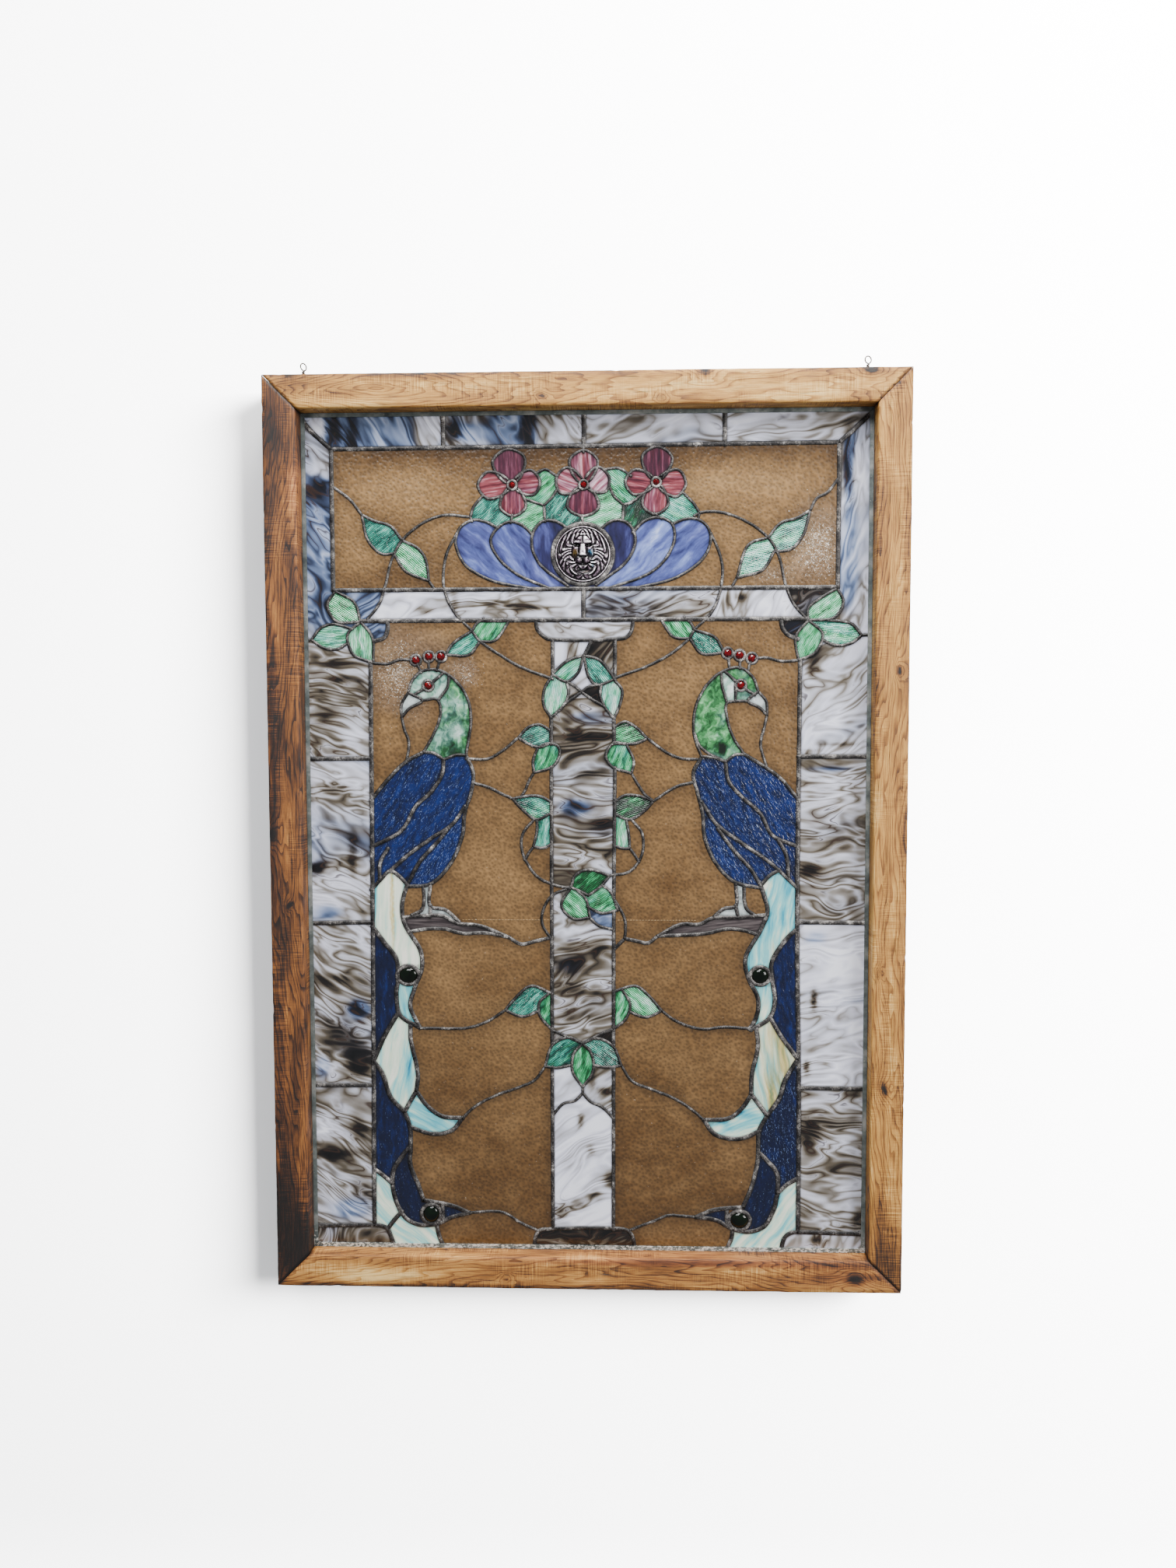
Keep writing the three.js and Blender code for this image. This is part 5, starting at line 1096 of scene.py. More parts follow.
SHEETS = {
    # On the amber the white flecks, and the second, paler and greyer run of colour where the tint is
    # raised, are painted glints.
    Glass.AMBER: SheetGlass(
        "amber_hammered_glass",
        ((0, (74, 50, 26)), (0.35, (112, 84, 50)), (0.5, (140, 111, 74)), (0.65, (164, 132, 90)),
         (1, (200, 168, 122))),
        ((0, (80, 60, 38)), (0.35, (118, 94, 66)), (0.5, (146, 120, 92)), (0.65, (168, 142, 110)),
         (1, (205, 180, 145))),
        length=60, width=40, contrast=0.5, bend=4, fleck_and_glint=0.95, fleck_color=(250, 246, 238),
        surface=Surface.HAMMERED, pitch=3.2, depth=0.6, grime=14, grime_tone=0.72, roughness=0.3),
    Glass.MARBLED: SheetGlass(
        "marbled_slag_glass",
        ((0, (8, 8, 10)), (0.16, (40, 34, 30)), (0.32, (96, 88, 76)), (0.47, (142, 138, 134)),
         (0.6, (182, 183, 192)), (0.8, (210, 212, 226)), (1, (232, 234, 244))),
        ((0, (6, 8, 14)), (0.2, (22, 27, 42)), (0.36, (60, 71, 96)), (0.52, (106, 122, 152)),
         (0.7, (156, 168, 194)), (1, (208, 214, 230))),
        length=110, width=30, contrast=1.1, bend=12, detail=3, bands=0.7, vein=0.8, pitch=6, depth=0.5,
        roughness=0.22),
    # On the cobalt the pale flecks are painted highlights.
    Glass.COBALT: SheetGlass(
        "cobalt_rippled_glass",
        ((0, (6, 10, 28)), (0.4, (14, 28, 66)), (0.6, (24, 50, 112)), (1, (44, 80, 158))),
        length=20, width=6, contrast=0.8, bend=2, fleck_and_glint=0.7, fleck_color=(136, 158, 204),
        fleck_size=(3.6, 1.0), surface=Surface.RIPPLED, pitch=3.4, depth=1.1, roughness=0.22),
    Glass.LEAF: SheetGlass(
        "green_ribbed_glass",
        ((0, (4, 50, 26)), (0.28, (16, 112, 62)), (0.52, (86, 194, 134)), (0.75, (152, 232, 190)),
         (1, (222, 250, 236))),
        ((0, (4, 50, 46)), (0.28, (18, 112, 100)), (0.52, (82, 182, 162)), (0.75, (150, 224, 208)),
         (1, (218, 246, 238))),
        length=22, width=5, contrast=2.1, bend=2, fleck_and_glint=0.5, fleck_color=(232, 250, 240),
        surface=Surface.RIBBED, pitch=1.9, depth=0.22),
    Glass.PETAL: SheetGlass(
        "rose_streaky_glass",
        ((0, (46, 8, 26)), (0.35, (100, 34, 48)), (0.6, (148, 80, 88)), (0.85, (200, 156, 164)),
         (1, (230, 214, 220))),
        ((0, (40, 10, 36)), (0.35, (86, 36, 58)), (0.6, (138, 88, 108)), (0.85, (196, 168, 180)),
         (1, (228, 216, 224))),
        length=40, width=3.2, contrast=1.6, bend=1.2, pitch=1.5, depth=0.2),
    Glass.BOWL: SheetGlass(
        "periwinkle_streaky_glass",
        ((0, (18, 16, 44)), (0.3, (44, 44, 88)), (0.55, (82, 88, 142)), (0.8, (124, 136, 192)),
         (1, (182, 196, 232))),
        ((0, (20, 22, 54)), (0.3, (50, 56, 106)), (0.55, (92, 104, 162)), (0.8, (136, 154, 208)),
         (1, (194, 206, 238))),
        length=50, width=11, contrast=1.5, bend=5, pitch=4, depth=0.3),
    Glass.TAIL: SheetGlass(
        "cream_and_aqua_glass",
        ((0, (36, 116, 150)), (0.25, (78, 168, 186)), (0.5, (146, 204, 204)), (0.72, (208, 224, 206)),
         (1, (236, 236, 224))),
        ((0, (60, 100, 100)), (0.3, (130, 140, 96)), (0.6, (190, 176, 120)), (0.8, (214, 204, 160)),
         (1, (236, 230, 206))),
        length=70, width=6, contrast=1.5, bend=4, pitch=4, depth=0.25),
    Glass.PLUMAGE: SheetGlass(
        "mottled_plumage_glass",
        ((0, (8, 26, 14)), (0.3, (30, 84, 44)), (0.5, (74, 140, 88)), (0.75, (138, 196, 148)),
         (1, (224, 232, 226))),
        ((0, (20, 44, 40)), (0.3, (80, 120, 110)), (0.5, (130, 170, 155)), (0.75, (186, 206, 198)),
         (1, (230, 234, 236))),
        length=16, width=10, contrast=1.7, bend=6, vein=0.35, vein_color=(24, 46, 30), pitch=3, depth=0.3),
    Glass.SHANK: SheetGlass(
        "pale_grey_glass", ((0, (130, 142, 142)), (1, (222, 232, 232))), length=14, width=5, pitch=3),
    Glass.BRANCH: SheetGlass(
        "branch_streaky_glass",
        ((0, (18, 14, 16)), (0.45, (60, 52, 54)), (0.8, (112, 104, 104)), (1, (170, 162, 156))),
        length=60, width=4, contrast=1.7, bend=1.5),
}


def hill(
    x: np.ndarray, z: np.ndarray, place: Sequence[float], reach: Sequence[float], degrees: float = 0.0,
) -> np.ndarray:
    """Returns a smooth hill of height 1, such as a spot on a pane.

    Args:
        x: Where each point lies across.
        z: Where each point lies up.
        place: The hill's top, x and z.
        reach: How far it reaches along its own two axes.
        degrees: How far those axes are turned.

    Returns:
        The hill's height at each point, 0 to 1.
    """
    angle = math.radians(degrees)
    across, up = x - place[0], z - place[1]
    first = (across * math.cos(angle) + up * math.sin(angle)) / reach[0]
    second = (up * math.cos(angle) - across * math.sin(angle)) / reach[1]
    return np.exp(-(first**2) - second**2)


def joined(solids: Sequence[tuple]) -> tuple[np.ndarray, list[tuple[int, ...]]]:
    """Joins several solids into one.

    Args:
        solids: The solids, each with its points and its faces first.

    Returns:
        The points and the faces of them all.
    """
    faces = []
    start = 0
    for points, own, *_ in solids:
        faces += [tuple(start + i for i in face) for face in own]
        start += len(points)
    return np.vstack([solid[0] for solid in solids]), faces


def waves(points: np.ndarray, size: float, seed: int) -> np.ndarray:
    """Returns smooth noise from -1 to 1 at points in mm, one bump to each size."""
    return np.array([noise.noise(Vector(p) / size + Vector((seed * 7.3, seed * 3.1, 0))) for p in points])


@dataclass
class Workshop:
    """Makes the pieces in the row frame: x and z run from the panel's middle, y from the frame's back."""

    middle_x: float
    middle_z: float
    made: list[bpy.types.Object] = field(default_factory=list)

    def piece(
        self, name: str, points: np.ndarray, faces: list, material: bpy.types.Material,
        replaced: Iterable[str], attributes: dict[str, np.ndarray] | None = None,
        smooth: bool = True, outward: bool = False,
    ) -> bpy.types.Object:
        """Makes one piece.

        Args:
            name: The piece's name.
            points: Its points in mm, one row each.
            faces: The point numbers of each face.
            material: Its finish.
            replaced: The solids that the piece stands for.
            attributes: Values that each point carries, by name.
            smooth: Whether its faces shade smoothly.
            outward: Whether to turn all its faces outward.

        Returns:
            The piece, riding with the window.
        """
        mesh = bpy.data.meshes.new(name)
        place = np.asarray(points, float) + (self.middle_x, 0, self.middle_z)
        mesh.from_pydata((place * MM).tolist(), [], faces)
        for key, values in (attributes or {}).items():
            layer = mesh.attributes.new(key, "FLOAT_VECTOR", "POINT")
            layer.data.foreach_set("vector", np.asarray(values, np.float32).ravel())
        if outward:
            solid = bmesh.new()
            solid.from_mesh(mesh)
            bmesh.ops.recalc_face_normals(solid, faces=solid.faces)
            solid.to_mesh(mesh)
            solid.free()
        if smooth:
            mesh.shade_smooth()
        mesh.materials.append(material)
        made = bpy.data.objects.new(name, mesh)
        bpy.context.scene.collection.objects.link(made)
        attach(made, "root")
        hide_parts(*replaced)
        self.made.append(made)
        LOG.info("%s: %d points", name, len(mesh.vertices))
        return made


def lathe_faces(rings: int, sides: int, closed: bool = False) -> list[tuple[int, ...]]:
    """Returns the faces of a skin over rings of points, with end caps unless it closes on itself.

    Args:
        rings: How many rings there are.
        sides: How many points a ring has.
        closed: Whether the last ring meets the first.

    Returns:
        The faces.
    """
    faces = []
    for i in range(rings if closed else rings - 1):
        here, after = i * sides, ((i + 1) % rings) * sides
        for k in range(sides):
            after_k = (k + 1) % sides
            faces.append((here + k, here + after_k, after + after_k, after + k))
    if not closed:
        faces.append(tuple(reversed(range(sides))))
        faces.append(tuple(range((rings - 1) * sides, rings * sides)))
    return faces


def swept(path: np.ndarray, radii: np.ndarray, sides: int, closed: bool = False) -> tuple[np.ndarray, list]:
    """Sweeps a circle along a line in space.

    Args:
        path: The line's points in mm.
        radii: The circle's radius at each point.
        sides: How many sides the circle has.
        closed: Whether the line closes on itself.

    Returns:
        The points and the faces.
    """
    along = np.roll(path, -1, 0) - np.roll(path, 1, 0) if closed else np.gradient(path, axis=0)
    along /= np.linalg.norm(along, axis=1, keepdims=True)
    side = np.cross(along[0], (0.31, 0.87, 0.39))
    rings = []
    for point, direction, radius in zip(path, along, radii):
        side = side - direction * np.dot(side, direction)
        side /= np.linalg.norm(side)
        up = np.cross(direction, side)
        turns = np.arange(sides) * (2 * math.pi / sides)
        rings.append(point + radius * (np.outer(np.cos(turns), side) + np.outer(np.sin(turns), up)))
    return np.concatenate(rings), lathe_faces(len(path), sides, closed)


@dataclass
class GlassWork:
    """The sheet glass: each pane a closed solid between the leads."""

    front: float = -40.3
    back: float = -38.0
    ripple: float = 0.12
    flat_edge: float = 6.0
    seed: int = 11
    sheet_reach: float = 900.0
    unevenness: float = 0.015
    scratch_z: float = -94.5
    scratch_runs: tuple[tuple[float, float], ...] = ((-144.0, -42.0), (36.0, 127.0))
    scratch_dot: float = 2.4
    scratch_gap: float = 1.1
    scratch_half: float = 0.22
    scratch_rise: float = 0.25
    scratch_tone: tuple[float, float, float] = (0.9, 0.3, 20.0)
    shared_spots: dict[Glass, tuple] = field(default_factory=lambda: {Glass.AMBER: AMBER_PAINTED_LIGHT})
    slots: dict[Glass, str] = field(default_factory=lambda: {
        Glass.AMBER: "glass_amber", Glass.MARBLED: "glass_marbled", Glass.COBALT: "glass_cobalt",
        Glass.TAIL: "glass_cream",
    })
    materials: dict[Glass, bpy.types.Material] = field(default_factory=dict)

    def build(self, shop: Workshop, tracery: Tracery) -> None:
        """Makes every pane: the large ones each by itself, the small ones with others of their glass.

        Args:
            shop: What makes the pieces.
            tracery: The network of leads.
        """
        self.materials = {glass: sheet.material() for glass, sheet in SHEETS.items()}
        random = np.random.default_rng(self.seed)
        waiting = list(PANES)
        together: dict[Glass, list] = {}
        jewels = [(jewel.x, jewel.z) for jewel in SET_JEWELS] + [*CREST_JEWELS, *EYE_JEWELS]
        for region in tracery.regions():
            if any(region.holds(x, z) for x, z in jewels):
                continue
            pane = next((p for p in waiting if region.holds(p.x, p.z)), None)
            if pane:
                waiting.remove(pane)
            else:
                pane = Pane(Glass.AMBER, 0, 0)
            solid = self.solid(region, pane, random)
            for start, end in self.scratch_runs:
                if region.holds(start, self.scratch_z):
                    solid = self.scratched(solid, start, end)
            if pane.node == "leading":
                together.setdefault(pane.glass, []).append(solid)
            else:
                self.place(shop, pane.node.replace("pane_", "glass_"), pane.glass, [solid], pane.node)
        for pane in waiting:
            LOG.warning("no pane at %s, %s", pane.x, pane.z)
        for glass, solids in together.items():
            self.place(shop, f"small_{glass.value}_panes", glass, solids, "leading")

    def solid(self, region: Region, pane: Pane, random: np.random.Generator) -> tuple:
        """Returns a pane's points, faces, grain and tone.

        Args:
            region: The pane's flat shape.
            pane: How the pane looks.
            random: Where the chance numbers come from.

        Returns:
            Its points, faces, grain and tone.
        """
        flat = region.points
        x, z = flat[:, 0], flat[:, 1]
        swell = np.sin(x / 9 + 1.3 * np.sin(z / 13)) * np.sin(z / 11 + 1.7 * np.sin(x / 17))
        swell *= self.ripple * np.minimum(1, region.to_lead / self.flat_edge)
        front = np.column_stack((x, self.front + swell, z))
        back = np.column_stack((x, self.back - swell, z))
        count = len(flat)
        faces = region.triangles.tolist() + (region.triangles[:, ::-1] + count).tolist()
        edge = np.unique(region.rim)
        order = np.concatenate((np.arange(count), np.arange(count), edge, edge))
        first, second = 2 * count, 2 * count + len(edge)
        walls = np.searchsorted(edge, region.rim).tolist()
        faces += [(first + i, second + i, second + j, first + j) for i, j in walls]
        turn = math.radians(pane.degrees)
        along = x * math.cos(turn) + z * math.sin(turn)
        across = z * math.cos(turn) - x * math.sin(turn)
        shift = random.uniform(0, self.sheet_reach, 3)
        grain = np.column_stack((along + shift[0], across + shift[1], np.full(count, shift[2])))
        lean = np.full(count, pane.lean + random.normal(0, self.unevenness), float)
        tint = np.full(count, float(pane.tint))
        for *place, wide, high, more_lean, more_tint in pane.spots + self.shared_spots.get(pane.glass, ()):
            share = hill(x, z, place, (wide, high))
            lean += more_lean * share
            tint += more_tint * share
        tone = np.column_stack((lean, tint, region.to_lead))
        return np.vstack((front, back, front[edge], back[edge])), faces, grain[order], tone[order]

    def scratched(self, solid: tuple, start: float, end: float) -> tuple:
        """Returns a pane with a row of thin pale dashes on its face, from a start to an end.

        Args:
            solid: The pane, with its points, faces, grain and tone.
            start: Where the scratches start across, in mm.
            end: Where they end, in mm.

        Returns:
            The same with the scratches.
        """
        points, faces, grain, tone = solid
        box, skin = [], list(faces)
        for left in np.arange(start, end, self.scratch_dot + self.scratch_gap):
            first = len(points) + len(box)
            for y in (self.front - self.scratch_rise, self.front + self.scratch_rise):
                for x, z in ((0, -1), (1, -1), (1, 1), (0, 1)):
                    box.append((left + x * self.scratch_dot, y, self.scratch_z + z * self.scratch_half))
            quads = ((0, 1, 2, 3), (7, 6, 5, 4), (0, 4, 5, 1), (1, 5, 6, 2), (2, 6, 7, 3), (3, 7, 4, 0))
            skin += [tuple(first + i for i in quad) for quad in quads]
        more = np.array(box)
        pale = np.tile(self.scratch_tone, (len(more), 1))
        return np.vstack((points, more)), skin, np.vstack((grain, more)), np.vstack((tone, pale))

    def place(self, shop: Workshop, name: str, glass: Glass, solids: list, node: str) -> None:
        """Joins panes into one piece and makes it.

        Args:
            shop: What makes the pieces.
            name: The piece's name.
            glass: The kind of glass.
            solids: The panes.
            node: The solid that they stand for.
        """
        points, faces = joined(solids)
        attributes = {"grain": np.vstack([s[2] for s in solids]), "tone": np.vstack([s[3] for s in solids])}
        made = shop.piece(
            name, points, faces, self.materials[glass], (node,), attributes,
            smooth=False,
        )
        made.data.polygons.foreach_set("use_smooth", [len(face) == 3 for face in faces])


@dataclass
class SolderWork:
    """The soldered leads: rounded beads along every line, with a puddle where a line ends."""

    middle: float = -39.5
    reach: float = 2.0
    at_glass: float = 0.917
    sides: int = 10
    limit_x: float = 326.0
    limit_z: float = 487.0
    puddle_limit_x: float = 318.0
    puddle_limit_z: float = 481.0
    puddle_share: float = 0.62
    piece_points: int = 25000
    bead_noise: float = 0.25
    eye_puddle: float = 9.0
    clear_of_jewel: float = 4.6
    overlap: float = 0.4
    brighter: tuple[tuple[str, float], ...] = (
        ("jewel seats", 0.06), ("jewel rings", 0.1), ("left leg and branch", 0.1),
    )

    def finish(self) -> bpy.types.Material:
        """Returns the finish of old solder: darker beside the glass, partly patina and partly painted
        shade, and greyer with painted glints on the crown.
        """
        shader = Shader("old_solder", Metallic=0.35)
        place = shader.place()
        outward = shader.node("ShaderNodeNewGeometry", ()).outputs["Normal"]
        # Painted light: the bead is paler and glints where it faces front or back, and darker where it
        # turns down to the glass.
        lit_crown = shader.step(shader.math("ABSOLUTE", shader.parts(outward)[1]), 0.35, 0.98)
        patch = shader.noise(place, 0.09, 5.0, 0.65)
        grit = shader.noise(place, 0.7, 3.0, 0.6)
        level = shader.math("MULTIPLY_ADD", lit_crown, 0.46, shader.math("MULTIPLY_ADD", patch, 1.6, -0.75))
        level = shader.math("ADD", level, shader.math("MULTIPLY_ADD", grit, 0.8, -0.4))
        level = shader.math("ADD", level, shader.parts(shader.attribute("tone"))[0], clamp=True)
        color = shader.ramp(level, (
            (0, (10, 10, 12)), (0.3, (34, 33, 34)), (0.55, (78, 75, 74)), (0.78, (146, 143, 140)),
            (1, (236, 234, 230))))
        shader.paint(color)
        shader.feed(shader.surface.inputs["Roughness"], shader.step(grit, 0.3, 0.7, 0.34, 0.6))
        shader.relief(grit, 0.35)
        return shader.material

    def bead(self, line: LeadLine, seed: int) -> tuple[np.ndarray, list]:
        """Returns the points and faces of one bead.

        Args:
            line: The lead to solder.
            seed: The number that its wobble grows from.

        Returns:
            Its points and faces.
        """
        path, normals = line.path, line.normals()
        inside = (np.abs(path[:, 0]) < self.limit_x) & (np.abs(path[:, 1]) < self.limit_z)
        if line.group != "jewel rings":
            for flower in FLOWERS:
                inside &= np.hypot(path[:, 0] - flower.x, path[:, 1] - flower.z) > self.clear_of_jewel
        path, normals = path[inside], normals[inside]
        closed = line.closed and inside.all()
        flat = np.column_stack((path, np.zeros(len(path))))
        wobble = waves(flat, 9, seed)
        swell = 1 + 0.09 * waves(flat, 5, seed + 1)
        rise = 0.92 + 0.08 * waves(flat, 7, seed + 2)
        size = np.ones(len(path))
        if not closed:
            size[0] = size[-1] = 0.35
            if len(path) > 4:
                size[1] = size[-2] = 0.85
        half = (line.width / 2 / self.at_glass * swell + self.overlap) * size
        for x, z in EYE_JEWELS:
            if "head" in line.group:
                half *= 1 + 0.6 * hill(path[:, 0], path[:, 1], (x, z), (self.eye_puddle, self.eye_puddle))
        middle = path + normals * (self.bead_noise * wobble)[:, None]
        turns = np.arange(self.sides) * (2 * math.pi / self.sides)
        across = np.cos(turns)[None, :] * half[:, None]
        out = np.sin(turns)[None, :] * (self.reach * rise * (0.4 + 0.6 * size))[:, None]
        x = middle[:, :1] + normals[:, :1] * across
        z = middle[:, 1:] + normals[:, 1:] * across
        points = np.stack((x, self.middle + out, z), axis=2).reshape(-1, 3)
        return points, lathe_faces(len(path), self.sides, closed)

    def puddle(self, x: float, z: float, radius: float) -> tuple[np.ndarray, list]:
        """Returns the points and faces of a puddle of solder.

        Args:
            x: Where it lies across, in mm.
            z: Where it lies up, in mm.
            radius: Its radius in mm.

        Returns:
            Its points and faces.
        """
        levels, sides = 7, 12
        rings = []
        for level in range(levels):
            tilt = math.pi * (0.06 + 0.88 * level / (levels - 1))
            turns = np.arange(sides) * (2 * math.pi / sides)
            spread = radius * math.sin(tilt)
            y = self.middle - self.reach * 0.99 * math.cos(tilt)
            rings.append(np.column_stack((
                x + spread * np.cos(turns), np.full(sides, y), z + spread * np.sin(turns))))
        return np.concatenate(rings), lathe_faces(levels, sides)

    def build(self, shop: Workshop, tracery: Tracery) -> None:
        """Makes the beads and puddles, one piece for each few groups of leads.

        Args:
            shop: What makes the pieces.
            tracery: The network of leads.
        """
        finish = self.finish()
        groups: dict[str, list[LeadLine]] = {}
        for line in tracery.lines:
            groups.setdefault(line.group, []).append(line)
        batch: list[tuple[np.ndarray, list]] = []
        polish: list[np.ndarray] = []
        names: list[str] = []
        for number, (group, lines) in enumerate(groups.items()):
            for index, line in enumerate(lines):
                batch.append(self.bead(line, 31 * number + index))
                if not line.closed:
                    for x, z in (line.path[1], line.path[-2]):
                        if abs(x) < self.puddle_limit_x and abs(z) < self.puddle_limit_z:
                            batch.append(self.puddle(x, z, self.puddle_share * line.width / self.at_glass))
            names.append(group)
            bright = dict(self.brighter).get(group, 0.0)
            polish += [np.full((len(points), 3), bright) for points, _ in batch[len(polish):]]
            if sum(len(points) for points, _ in batch) > self.piece_points or number == len(groups) - 1:
                points, faces = joined(batch)
                name = "solder_" + names[0].replace(" ", "_").replace(",", "")
                tone = {"tone": np.vstack(polish)}
                shop.piece(name, points, faces, finish, ("leading",), tone, outward=True)
                batch, polish, names = [], [], []


@dataclass(frozen=True)
class Rail:
    """A bar of the frame: its solid, where the heart of the tree lay, its spots and its knots.

    Each spot is a place along the bar, a place across it, the reach along and across, and the changes of
    darkness and of redness. Each knot is a place along the bar, a place across it and a radius. Places are
    mm from the bar's middle and from its outer edge.
    """

    node: str
    along_x: bool
    outer: float
    inward: float
    half: float
    lean: float
    red: float
    heart: tuple[float, float, float]
    spots: tuple[tuple[float, float, float, float, float, float], ...] = ()
    knots: tuple[tuple[float, float, float], ...] = ()


@dataclass
class WoodFrame:
    """The frame: four old mitred bars, worn at their edges and grooved for the panel."""

    face: float = 38.0
    depth: float = 64.0
    groove: tuple[float, float, float] = (32.2, 21.7, 28.3)
    step: float = 5.0
    round: float = 1.3
    gap: float = 0.15
    knot_swirl: float = 11.0
    knot_dark: float = 0.75
    bow_depth: float = 26.0
    bow_length: float = 300.0
    rails: tuple[Rail, ...] = (
        Rail("frame_top", True, 522, -1, 360.7, 0.06, 0.0, (17, 42, 150), (
            (-200, 2, 170, 5, -0.42, 0), (-330, 10, 14, 20, -0.2, 0.1), (170, 20, 140, 12, 0.16, 0),
            (300, 3, 60, 4, -0.2, 0)),
            ((133, 2, 7), (315, 2, 7), (-48, 27, 3), (85, 30, 3))),
        Rail("frame_bottom", True, -522, 1, 360.7, 0.0, 0.3, (60, 70, -40), (
            (-250, 14, 60, 9, 0.3, -0.2), (-100, 1, 330, 4, -0.4, 0), (120, 34, 200, 4, -0.2, 0.5),
            (300, 20, 60, 12, -0.24, 0.2)),
            ((308, 17, 8), (-94, 14, 3))),
        Rail("frame_left", False, -361, 1, 521.8, -0.24, 0.4, (-30, 70, 60), (
            (-480, 19, 90, 30, -0.36, 0.1), (-300, 8, 120, 8, -0.22, 0.1), (100, 6, 160, 5, -0.2, 0.2),
            (395, 34, 30, 6, 0.3, 0.3), (470, 10, 30, 12, -0.25, 0.1)),
            ((6, 3, 6), (-75, 22, 2.5))),
        Rail("frame_right", False, 361, -1, 521.8, 0.02, 0.1, (70, 60, -50), (
            (-480, 19, 70, 30, -0.3, 0.1), (80, 4, 200, 4, -0.2, 0), (300, 30, 60, 6, -0.16, 0.1)),
            ((-284, 22, 5), (-150, 30, 3), (190, 12, 4))),
    )

    def outline(self) -> np.ndarray:
        """Returns the bar's section: across from its outer edge and back from its front."""
        groove_end, groove_near, groove_far = self.groove
        corners = [
            (0, 0, True), (self.face, 0, True), (self.face, groove_near, False),
            (groove_end, groove_near, False), (groove_end, groove_far, False),
            (self.face, groove_far, False), (self.face, self.depth, True), (0, self.depth, True),
        ]
        points: list[np.ndarray] = []
        for index, (across, back, rounded) in enumerate(corners):
            corner = np.array((across, back), float)
            before = np.array(corners[index - 1][:2], float)
            after = np.array(corners[(index + 1) % len(corners)][:2], float)
            to_before = (before - corner) / np.linalg.norm(before - corner)
            to_after = (after - corner) / np.linalg.norm(after - corner)
            own = [corner]
            if rounded:
                centre = corner + self.round * (to_before + to_after)
                turns = (0, math.pi / 4, math.pi / 2)
                own = [
                    centre - self.round * (to_after * math.cos(a) + to_before * math.sin(a)) for a in turns]
            points += own
            run = after - points[-1]
            steps = max(1, round(np.linalg.norm(run) / self.step))
            points += [points[-1] + run * (k / steps) for k in range(1, steps)]
        return np.array(points)

    def build(self, shop: Workshop) -> None:
        """Makes the four bars.

        Args:
            shop: What makes the pieces.
        """
        finish = self.finish()
        for number, rail in enumerate(self.rails):
            self.bar(shop, rail, number, finish)

    def bar(self, shop: Workshop, rail: Rail, number: int, finish: bpy.types.Material) -> None:
        """Makes one bar, mitred and worn.

        Args:
            shop: What makes the pieces.
            rail: The bar to make.
            number: The bar's number, from 0.
            finish: Its finish.
        """
        outline = self.outline()
        sides = len(outline)
        stations = np.linspace(-1, 1, round(2 * rail.half / self.step) + 1)
        along = stations[:, None] * (rail.half - self.gap - outline[None, :, 0])
        across = np.repeat(outline[None, :, 0], len(stations), 0)
        back = np.repeat(outline[None, :, 1], len(stations), 0)
        flat = np.column_stack((along.ravel(), across.ravel(), back.ravel()))
        wear = np.zeros(len(flat))
        for edge in (0.0, self.face):
            line = np.column_stack((flat[:, 0], np.full(len(flat), edge), np.zeros(len(flat))))
            rough = 0.45 + 0.35 * waves(line, 26, number + 3) + 0.25 * waves(line, 8, number + 5)
            chips = np.clip(waves(line, 17, number + 8) - 0.42, 0, 1) * 7
            near = np.clip(1 - np.hypot(flat[:, 1] - edge, flat[:, 2]) / 3.5, 0, 1)
            wear += near * (rough + chips)
        groove_end, groove_near, groove_far = self.groove
        inside = (flat[:, 2] > groove_near - 1) & (flat[:, 2] < groove_far + 1)
        inside &= flat[:, 1] > groove_end - 1
        dips = 0.16 * (1 + waves(flat * (0.2, 1, 1), 7, number + 12)) * ~inside
        toward = np.array((0, self.face / 2, self.depth / 2)) - flat * (0, 1, 1)
        toward /= np.maximum(np.abs(toward).max(1, keepdims=True), 1)
        flat = flat + toward * (wear + dips)[:, None]
        run, inner, deep = flat.T
        edge = rail.outer + rail.inward * inner
        back = deep - self.depth
        points = np.column_stack((run, back, edge) if rail.along_x else (edge, back, run))
        heart_across, heart_back, bow = rail.heart
        bowed = self.bow_depth * ((run - bow) / self.bow_length) ** 2
        ring = np.hypot(inner - heart_across, deep - heart_back + bowed)
        lean = np.full(len(flat), rail.lean)
        red = np.full(len(flat), rail.red)
        for *place, far, wide, more_lean, more_red in rail.spots:
            share = hill(run, inner, place, (far, wide))
            lean += more_lean * share
            red += more_red * share
        for knot_run, knot_across, radius in rail.knots:
            away = np.hypot(run - knot_run, 1.5 * (inner - knot_across)) + 0.4 * deep
            ring = ring + self.knot_swirl * np.exp(-((away / (2.6 * radius)) ** 2))
            lean -= self.knot_dark * np.exp(-((away / radius) ** 2))
        lean -= 0.1 * np.clip(np.abs(flat[:, 0]) - (rail.half - inner - 2.5), 0, 2.5)
        grain = np.column_stack((run + 1300 * number, inner + 90 * number, deep))
        tone = np.column_stack((lean, red, ring))
        shop.piece(
            f"old_{rail.node}", points, lathe_faces(len(stations), sides), finish, (rail.node,),
            {"grain": grain, "tone": tone}, outward=True,
        )

